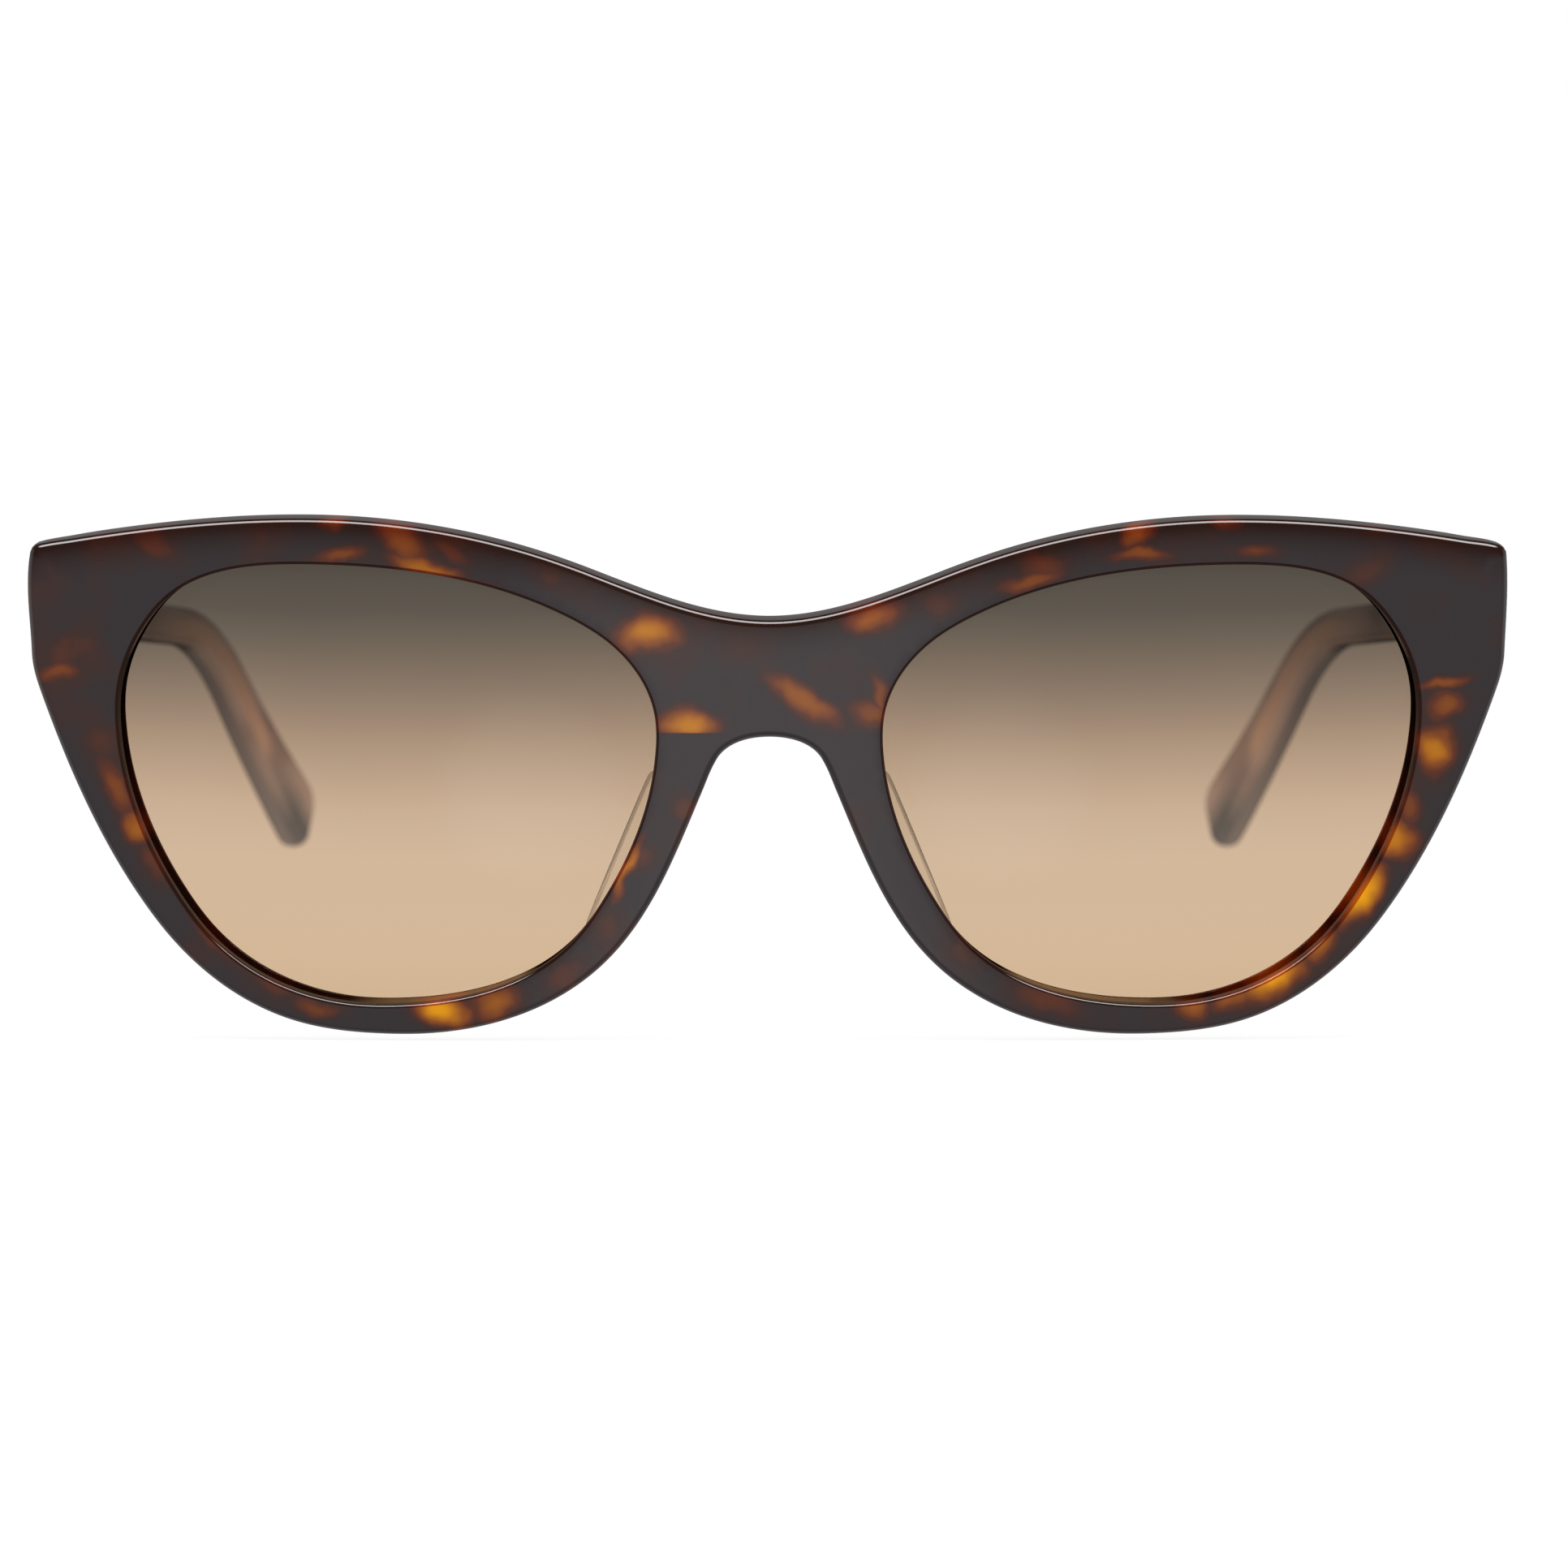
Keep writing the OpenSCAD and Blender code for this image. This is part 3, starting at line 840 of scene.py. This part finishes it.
OUTLINE_STEP = 0.5 * MM
FILL_STEP = 0.8 * MM
OUTER_EDGE = polished_edge(1.0 * MM, bevel=0.3)
RIM_EDGE = polished_edge(0.5 * MM, bevel=0.3)
BACK_EDGE = polished_edge(0.8 * MM, bevel=0.2)
FULLY_UP = 0.25  # sine of the slope from which an edge counts as looking up and takes full painted shade
EDGE_SHADE_FADE = 3.8 * MM  # painted shade: the face is darker this far down from its top edge
LENS_STEP = 2 * MM
LENS_BEVEL = 0.12 * MM

outer_outline, opening_outline = front_outlines(OUTLINE_STEP)


def outer_ring(inset, depth, surface, sign):
    """Ring round the front, inset from the outline, at a depth below a surface."""
    flat = moved_out(outer_outline, -inset)
    y = surface(flat[:, 0]) + sign * depth
    return from_front(np.stack([flat[:, 0], y, flat[:, 1]], 1))


def rim_ring(side, outset, depth, surface, sign):
    """Ring round a lens opening, set out into the rim, at a depth below a surface."""
    flat = moved_out(opening_outline, outset)
    at = depth_at_surface(flat, surface) + sign * depth
    return eye_to_front(flat, at, side)


def groove_ring(side, outset, behind):
    """Ring on a wall of the lens groove, a distance behind the lens's front."""
    flat = moved_out(opening_outline, outset)
    return eye_to_front(flat, lens_depth(flat, behind), side)


def rim_rings(side):
    """Rings of one lens opening from the face, through the groove, to the back."""
    front_rings = [rim_ring(side, i, d, face_y, 1) for i, d in RIM_EDGE]
    grooved = [
        groove_ring(side, 0, -GROOVE_SLACK),
        groove_ring(side, GROOVE_D, -GROOVE_SLACK),
        groove_ring(side, GROOVE_D, LENS_T + GROOVE_SLACK),
        groove_ring(side, 0, LENS_T + GROOVE_SLACK),
    ]
    back_rings = [rim_ring(side, i, d, back_y, -1) for i, d in BACK_EDGE]
    return front_rings + grooved + back_rings[::-1]


def add_opening(shell, side):
    """One lens opening's walls. Returns its first and last ring: front points and numbers."""
    points = rim_rings(side)
    numbers = [shell.add(from_front(p)) for p in points]
    for a, b in zip(numbers, numbers[1:]):
        shell.strip(a, b)
    # painted shade on the opening's walls: every ring but the first and last
    for ring in numbers[1:-1]:
        shell.mark(EDGE_SHADE, ring, [1] * len(ring))
    return (points[0], numbers[0]), (points[-1], numbers[-1])


def add_sheet(shell, surface, first, openings, facing_up, flip):
    """The face or the back, between its outermost ring and the two openings' rings."""
    outer = to_front(np.array([shell.points[i] for i in first]))[:, [0, 2]]
    holes = [ring[:, [0, 2]] for ring, _ in openings]
    points, triangles = fill(outer, holes, FILL_STEP)
    known = len(outer) + sum(len(h) for h in holes)
    grid = points[known:]
    y = surface(grid[:, 0])
    extra = shell.add(from_front(np.stack([grid[:, 0], y, grid[:, 1]], 1)))
    numbers = first + openings[0][1] + openings[1][1] + extra
    shell.patch(numbers, triangles, flip)
    # painted shade fading in from the outer outline where it looks up, on face and back alike
    gaps = np.linalg.norm(points[:, None] - outer[None], axis=2)
    fade = np.clip(1 - gaps.min(1) / EDGE_SHADE_FADE, 0, 1) ** 2
    shell.mark(EDGE_SHADE, numbers, facing_up[gaps.argmin(1)] * fade)


def build_front(material):
    """The acetate front: outer edge, two grooved openings, face and back."""
    shell = Shell()
    face = [shell.add(outer_ring(i, d, face_y, 1)) for i, d in OUTER_EDGE]
    back = [shell.add(outer_ring(i, d, back_y, -1)) for i, d in BACK_EDGE]
    # painted shade on the outer edge's rings, where the outline looks up
    facing_up = np.clip(outward(outer_outline)[:, 1] / FULLY_UP, 0, 1)
    for ring in face[1:] + back[1:]:
        shell.mark(EDGE_SHADE, ring, facing_up)
    rings = face + back[::-1]
    for a, b in zip(rings, rings[1:]):
        shell.strip(a, b)
    fronts, backs = zip(*[add_opening(shell, side) for side in (1, -1)])
    add_sheet(shell, face_y, face[0], fronts, facing_up, False)
    add_sheet(shell, back_y, back[0], backs, facing_up, True)
    return shell.finish("front_acetate", "front", material, "tortoise_acetate", "front_frame")


def lens_ring(side, flat, behind):
    """Points of an outline or grid on a lens surface, in the row frame."""
    return from_front(eye_to_front(flat, lens_depth(flat, behind), side))


def build_lens_layer(name, side, start, thick, material, slot, cad_node):
    """One lens layer: two spherical faces and an edge with small bevels."""
    shell = Shell()
    bevel = min(LENS_BEVEL, thick * 0.3)
    ends = [
        (LENS_LAP - bevel, start),
        (LENS_LAP, start + bevel),
        (LENS_LAP, start + thick - bevel),
        (LENS_LAP - bevel, start + thick),
    ]
    flats = [moved_out(opening_outline, out) for out, _ in ends]
    rings = [
        shell.add(lens_ring(side, flat, behind)) for flat, (_, behind) in zip(flats, ends)
    ]
    for a, b in zip(rings, rings[1:]):
        shell.strip(a, b)
    for k, flip in ((0, False), (-1, True)):
        points, triangles = fill(flats[k], [], LENS_STEP)
        grid = points[len(flats[k]) :]
        extra = shell.add(lens_ring(side, grid, ends[k][1]))
        shell.patch(rings[k] + extra, triangles, flip)
    return shell.finish(name, "front", material, slot, cad_node)


def side_at(s):
    """(y, z, heading) of a temple's centreline at a length s."""
    if s < REACH_L:
        return TEMPLE_Y + s, TEMPLE_Z, 0.0
    if s < REACH_L + ARC_L:
        a = (s - REACH_L) / BEND_R
        return (
            TEMPLE_Y + REACH_L + BEND_R * math.sin(a),
            TEMPLE_Z - BEND_R * (1 - math.cos(a)),
            -a,
        )
    d = s - REACH_L - ARC_L
    y = TEMPLE_Y + REACH_L + BEND_R * math.sin(DROP) + d * math.cos(DROP)
    z = TEMPLE_Z - BEND_R * (1 - math.cos(DROP)) - d * math.sin(DROP)
    return y, z, -DROP


def section_corners(points, triangles, origin, heading):
    """Four corners of the temple's section square to the heading: x and the height across it."""
    along = np.array([0, math.cos(heading), math.sin(heading)])
    across = np.array([0, -math.sin(heading), math.cos(heading)])
    rel = points - origin
    over = rel @ along
    a = triangles[:, [0, 1, 2]].reshape(-1)
    b = triangles[:, [1, 2, 0]].reshape(-1)
    cut = (over[a] > 0) != (over[b] > 0)
    a, b = a[cut], b[cut]
    t = (over[a] / (over[a] - over[b]))[:, None]
    hit = rel[a] + t * (rel[b] - rel[a])
    hit = hit[np.abs(hit @ across) < SECTION_REACH]
    flat = np.stack([hit[:, 0] + origin[0], hit @ across], 1)
    centre = (flat.min(0) + flat.max(0)) / 2
    half = (flat.max(0) - flat.min(0)) / 2
    spread = (flat - centre) / half
    diagonals = ((-1, -1), (1, -1), (1, 1), (-1, 1))
    return np.array([flat[np.argmax(spread @ np.array(d))] for d in diagonals])


def unit(vector):
    return vector / np.linalg.norm(vector)


def rounded_quad(corners, radius, inset, steps=5, sides=10):
    """Loop of points round a quad with rounded corners, all moved in by inset."""
    loop = []
    for k in range(4):
        here, after = corners[k], corners[(k + 1) % 4]
        u = unit(corners[k - 1] - here)
        v = unit(after - here)
        middle = here + (radius + inset) * (u + v)
        for i in range(steps + 1):
            angle = math.pi / 2 * i / steps
            loop.append(middle - radius * (math.cos(angle) * v + math.sin(angle) * u))
        far_v = unit(corners[(k + 2) % 4] - after)
        far_middle = after + (radius + inset) * (unit(here - after) + far_v)
        start, end = loop[-1], far_middle - radius * far_v
        for i in range(1, sides):
            loop.append(start + (end - start) * i / sides)
    return np.array(loop)


def temple_stations():
    """(length, extra heading, inset) of each ring along a temple."""
    quarter = [math.pi / 2 * i / 4 for i in range(5)]
    stations = []
    for a in quarter:
        s = ROOT_S + ROOT_ROUND * (1 - math.sin(math.pi / 2 - a))
        stations.append((s, LEAN, ROOT_ROUND * (1 - math.sin(a))))
    for s in np.linspace(ROOT_S + 1 * MM, LEVEL_S, 12):
        stations.append((s, LEAN * (1 - (s - ROOT_S) / (LEVEL_S - ROOT_S)), 0.0))
    for s in np.arange(LEVEL_S + RING_STEP, TEMPLE_L - TIP_ROUND - 1 * MM, RING_STEP):
        stations.append((s, 0.0, 0.0))
    for i in range(1, 8):
        reach = (TIP_ROUND - TIP_EDGE) * math.sin(math.pi / 2 * i / 8)
        stations.append((TEMPLE_L - TIP_ROUND + reach, 0.0, 0.0))
    for a in quarter:
        s = TEMPLE_L - TIP_EDGE + TIP_EDGE * math.sin(a) * 0.98
        stations.append((s, 0.0, TIP_EDGE * (1 - math.cos(a))))
    return stations


def temple_ring(points, triangles, s, tilt, inset):
    """Rounded section of a temple at a length: flat loop, height, and points in the row frame."""
    y, z, heading = side_at(s)
    heading += tilt
    probe = min(max(s, ROOT_S + ROOT_CLEAR), TEMPLE_L - TIP_CLEAR)
    py, pz, _ = side_at(probe)
    corners = section_corners(points, triangles, np.array([0, py, pz]), heading)
    width, height = np.ptp(corners, axis=0)
    corner = ROOT_CORNER + (TIP_CORNER - ROOT_CORNER) * s / TEMPLE_L
    radius = min(corner, WIDTH_SHARE * width, HEIGHT_SHARE * height) - 0.7 * inset
    radius *= ROOT_SHARE + (1 - ROOT_SHARE) * min(1, max(0, (s - ROOT_S) / ROOT_RUN))
    loop = rounded_quad(corners, max(radius, LEAST_CORNER), inset)
    across = np.array([0, -math.sin(heading), math.cos(heading)])
    ring = np.array([0, y, z]) + loop[:, :1] * np.array([1, 0, 0]) + loop[:, 1:] * across
    return loop, height, ring


def mark_temple(shell, numbers, loop, height, s, outer_sign):
    """Gives a ring of a temple its shares of lining, core wire and painted shade low on the tip.
    """
    outwards = outer_sign * loop[:, 0]
    shell.mark(ACROSS, numbers, (outwards.max() - outwards) / np.ptp(outwards))
    level = loop[:, 1] - (loop[:, 1].max() + loop[:, 1].min()) / 2
    from_middle = np.abs(level + WIRE_LOW * height) / (0.5 * WIRE_H)
    beside = np.clip(1.6 - from_middle, 0, 1)
    ends = min(1, (s - GLOW_FROM) / GLOW_RISE, (WIRE_TO - s) / GLOW_FALL)
    shell.mark(WIRE, numbers, beside * max(0, ends))
    # painted shade: darker low in the section, coming in towards the tip's end
    low = np.clip(0.55 - level / (0.5 * height), 0, 1)
    shell.mark(TIP_SHADE, numbers, low * np.clip((s - TEMPLE_L) / TIP_SHADE_RISE + 1.45, 0, 1))


def build_temple(side_name, material):
    """A temple as rings of rounded sections cut from its CAD solid."""
    cad_node = "temple_" + side_name
    outer_sign = 1 if side_name == "left" else -1
    points, triangles = cad_triangles(cad_node)
    shell = Shell()
    rings = []
    for s, tilt, inset in temple_stations():
        loop, height, ring = temple_ring(points, triangles, s, tilt, inset)
        rings.append(shell.add(ring))
        mark_temple(shell, rings[-1], loop, height, s, outer_sign)
    for a, b in zip(rings, rings[1:]):
        shell.strip(a, b)
    for ring in (rings[0], rings[-1]):
        (centre,) = shell.add([np.mean([shell.points[i] for i in ring], axis=0)])
        shell.mark(ACROSS, [centre], [0.5])
        n = len(ring)
        shell.faces += [(ring[i], ring[(i + 1) % n], centre) for i in range(n)]
    name = f"temple_acetate_{side_name}"
    return shell.finish(name, cad_node, material, "tortoise_acetate", cad_node)


PAD_SUNK = 0.8 * MM  # the pad's foot reaches this far into the rim
PAD_VOXEL = 0.28 * MM


def build_pad(side_name, material):
    """A nose pad: its CAD solid, sunk a little into the rim, then rounded all over."""
    cad_node = "nose_pad_" + side_name
    points, triangles = cad_triangles(cad_node)
    local = to_front(points)
    foot = np.abs(local[:, 1] - back_y(local[:, 0])) < 0.1 * MM
    local[foot, 1] -= PAD_SUNK
    shell = Shell()
    numbers = shell.add(from_front(local))
    shell.patch(numbers, triangles, False)
    name = f"nose_pad_crystal_{side_name}"
    piece = shell.finish(name, "front", material, "crystal_acetate", cad_node)
    remesh = piece.modifiers.new("even", "REMESH")
    remesh.mode = "VOXEL"
    remesh.voxel_size = PAD_VOXEL
    remesh.use_smooth_shade = True
    smooth = piece.modifiers.new("soften", "SMOOTH")
    smooth.factor = 0.6
    smooth.iterations = 14
    bake_modifiers(piece)
    return piece


def bake_modifiers(piece):
    """Replaces a piece's mesh by what its modifiers make of it."""
    graph = bpy.context.evaluated_depsgraph_get()
    baked = bpy.data.meshes.new_from_object(piece.evaluated_get(graph))
    materials = list(piece.data.materials)
    piece.modifiers.clear()
    piece.data = baked
    if not baked.materials:
        for material in materials:
            baked.materials.append(material)
    baked.shade_smooth()


def dress_metal(names, material, bevel_width):
    """Keeps CAD nodes and gives them a metal and small bevels."""
    for name in names:
        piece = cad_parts[name]
        piece.data.materials.clear()
        piece.data.materials.append(material)
        weld = piece.modifiers.new("weld", "WELD")
        weld.merge_threshold = SAME_POINT
        bevel = piece.modifiers.new("bevel", "BEVEL")
        bevel.width = bevel_width
        bevel.segments = 2
        bevel.limit_method = "ANGLE"
        bevel.angle_limit = math.radians(35)
        bevel.harden_normals = False


def both(stem):
    return [f"{stem}_left", f"{stem}_right"]


def build_lens(side, side_name, front_glass, film_material, rear_glass):
    """The three layers of one lens."""
    middle = WAFER_T + LAYER_GAP
    rear = middle + FILM_T + LAYER_GAP
    layers = (
        ("lens_front_wafer", 0, WAFER_T, front_glass, "lens_tint"),
        ("polarising_film", middle, FILM_T, film_material, "polarising_film"),
        ("lens_rear_wafer", rear, WAFER_T, rear_glass, "lens_tint"),
    )
    for stem, start, thick, material, slot in layers:
        name = f"{stem}_clear_{side_name}"
        cad_node = f"{stem}_{side_name}"
        build_lens_layer(name, side, start, thick, material, slot, cad_node)


def build_pieces():
    """Every piece of the object, and the metals of the CAD nodes that stay."""
    temple_material = tortoise_temple()
    crystal_material = crystal()
    front_glass = wafer_glass("lens_front_glass", -1)
    rear_glass = wafer_glass("lens_rear_glass", 1)
    film_material = film_tint()
    build_front(tortoise_front())
    for side, side_name in ((1, "left"), (-1, "right")):
        build_lens(side, side_name, front_glass, film_material, rear_glass)
        build_temple(side_name, temple_material)
        build_pad(side_name, crystal_material)
    hinge_metal = metal("hinge_metal", (0.66, 0.61, 0.53), 0.26, 1500)
    screw_metal = metal("screw_steel", (0.72, 0.72, 0.71), 0.2, 2500)
    wire_metal = metal("wire_steel", (0.62, 0.58, 0.5), 0.34, 1200)
    dress_metal(both("front_hinge") + both("temple_hinge"), hinge_metal, 0.12 * MM)
    dress_metal(both("hinge_screw") + both("temple_hinge_rivets"), screw_metal, 0.08 * MM)
    dress_metal(both("core_wire"), wire_metal, 0.15 * MM)


# ---- Stage, light and camera ----


FLOOR_DROP = 0.5 * MM  # the floor lies this far below the object
FLOOR_HALF = 2.2  # half the floor's width, in metres like the next four
FLOOR_NEAR = -1.6
FLOOR_FAR = 0.9
SWEEP_R = 0.5
WALL_TOP = 1.8
FLOOR_PAPER = 0.1  # share of light it scatters
FLOOR_GLOW = 0.88  # its own glow, which keeps it white


def floor_material():
    """Paper that scatters a little light and glows, so that it stays white under the object."""
    material, tree = new_material("pale_floor")
    paper = node(tree, "ShaderNodeBsdfDiffuse", {"Color": [FLOOR_PAPER] * 3})
    glow = node(tree, "ShaderNodeEmission", {"Color": (1, 1, 1), "Strength": FLOOR_GLOW})
    show(tree, node(tree, "ShaderNodeAddShader", {0: paper.outputs[0], 1: glow.outputs[0]}))
    return material


def build_stage():
    """A white floor that curves up into a backdrop behind the object."""
    floor_z = cad_low.z - FLOOR_DROP
    profile = [(FLOOR_NEAR, 0), (FLOOR_FAR, 0)]
    for a in np.linspace(0.1, math.pi / 2, 12):
        profile.append((FLOOR_FAR + SWEEP_R * math.sin(a), SWEEP_R - SWEEP_R * math.cos(a)))
    profile.append((FLOOR_FAR + SWEEP_R, WALL_TOP))
    shell = Shell()
    left = shell.add([(-FLOOR_HALF, y, z + floor_z) for y, z in profile])
    right = shell.add([(FLOOR_HALF, y, z + floor_z) for y, z in profile])
    for i in range(len(profile) - 1):
        shell.faces.append((left[i], left[i + 1], right[i + 1], right[i]))
    mesh = bpy.data.meshes.new("floor")
    mesh.from_pydata(shell.points, [], shell.faces)
    mesh.shade_smooth()
    mesh.materials.append(floor_material())
    floor = add_object("floor", mesh)
    floor.visible_glossy = False


def area_light(name, place_at, aim, size, power):
    """A soft light whose own reflection does not show; the world draws the reflections."""
    lamp = bpy.data.lights.new(name, "AREA")
    lamp.shape = "RECTANGLE"
    lamp.size, lamp.size_y = size
    lamp.energy = power
    made = add_object(name, lamp)
    made.location = place_at
    made.rotation_euler = (Vector(aim) - Vector(place_at)).to_track_quat("-Z", "Y").to_euler()
    made.visible_glossy = False


CLEAR_BOUNCES = 48  # enough for a ray to cross both lenses, pads and temples without noise
ROOM_LIGHT = 1.24  # brightness of the room as it lights the object
BASE_GLOW = 0.04  # brightness of its darkest part in reflections
LONG_BOX_GLOW = 11.5
FAR_ROOM_GLOW = 0.55
LOW_FRONT = (0, -0.95, -0.31)  # where the front's face reflects
OVERHEAD = (0, -0.3, 0.95)  # where its top edge reflects
REAR = (0, 0.95, 0.31)  # where the walls of the lens openings reflect

# Round panels seen in reflections: centre, cosines at the rim and at full strength, strength.
PANELS = [
    (LOW_FRONT, 0.5, 0.98, 0.09),
    (LOW_FRONT, 0.98, 1.0, 0.62),
    (REAR, 0.90, 0.97, 0.16),
]


def towards(tree, direction, centre):
    """Cosine of the angle between a direction and a centre."""
    return vector_math(tree, "DOT_PRODUCT", direction, Vector(centre).normalized(), "Value")


def panel(tree, direction, centre, edge, full, strength):
    """Brightness of a soft round panel of the studio, seen in a direction."""
    return smooth_step(tree, towards(tree, direction, centre), edge, full, strength)


def long_box(tree, direction, strength):
    """Brightness of the overhead light box, which is long across the object and narrow."""
    short_way = Vector((1, 0, 0)).cross(OVERHEAD)
    off_middle = math_node(tree, "ABSOLUTE", towards(tree, direction, short_way))
    narrow = smooth_step(tree, off_middle, 0.24, 0.19)
    reach = panel(tree, direction, OVERHEAD, 0.74, 0.82, strength)
    return math_node(tree, "MULTIPLY", narrow, reach)


def far_room(tree, direction, strength):
    """Brightness of the room's sides and floor, clear of the directions named above."""
    clear = smooth_step(tree, towards(tree, direction, LOW_FRONT), 0.45, 0.0, strength)
    for centre, edge, full in ((OVERHEAD, 0.55, 0.25), (REAR, 0.88, 0.66)):
        away = smooth_step(tree, towards(tree, direction, centre), edge, full)
        clear = math_node(tree, "MULTIPLY", clear, away)
    return clear


def build_light():
    """A white room, with the darker reflections of a studio and a bright box overhead."""
    world = bpy.data.worlds.new("studio")
    world.use_nodes = True
    tree = world.node_tree
    tree.nodes.clear()
    direction = node(tree, "ShaderNodeTexCoord").outputs["Generated"]
    glow = BASE_GLOW
    for spot in PANELS:
        glow = math_node(tree, "ADD", glow, panel(tree, direction, *spot))
    glow = math_node(tree, "ADD", glow, long_box(tree, direction, LONG_BOX_GLOW))
    glow = math_node(tree, "ADD", glow, far_room(tree, direction, FAR_ROOM_GLOW))
    path = node(tree, "ShaderNodeLightPath")
    room = math_node(tree, "SUBTRACT", 1.0, path.outputs["Is Glossy Ray"])
    strength = math_node(tree, "MULTIPLY", room, ROOM_LIGHT)
    reflected = math_node(tree, "MULTIPLY", glow, path.outputs["Is Glossy Ray"])
    strength = math_node(tree, "ADD", strength, reflected)
    seen = path.outputs["Is Camera Ray"]
    strength = math_node(tree, "MULTIPLY", strength, math_node(tree, "SUBTRACT", 1.0, seen))
    strength = math_node(tree, "ADD", strength, seen)
    values = {"Color": (1, 1, 1), "Strength": strength}
    background = node(tree, "ShaderNodeBackground", values)
    show(tree, background, "ShaderNodeOutputWorld")
    area_light("top_softbox", (0, -0.25, 0.8), (0, 0, 0), (1.2, 0.36), 5)
    scene = bpy.context.scene
    scene.world = world
    scene.view_settings.view_transform = "Standard"
    scene.cycles.transparent_max_bounces = CLEAR_BOUNCES
    scene.cycles.min_transparent_bounces = CLEAR_BOUNCES


CAMERA_AT = (-4.6 * MM, -600 * MM, -1.0 * MM)
CAMERA_AIM = (1.4 * MM, 0, -1.0 * MM)
FOCUS_AT = (0, 2 * MM, 0)


def build_camera():
    """Level, in front and turned a little to one side, as far off as the object was seen from."""
    data = bpy.data.cameras.new("camera")
    data.sensor_width = 36
    data.lens = 143.1
    camera = add_object("camera", data)
    camera.location = CAMERA_AT
    look = Vector(CAMERA_AIM) - Vector(CAMERA_AT)
    camera.rotation_euler = look.to_track_quat("-Z", "Y").to_euler()
    focus = add_object("focus", None)
    focus.location = FOCUS_AT
    data.dof.use_dof = True
    data.dof.focus_object = focus
    data.dof.aperture_fstop = 32
    bpy.context.scene.camera = camera


build_pieces()
build_stage()
build_light()
build_camera()
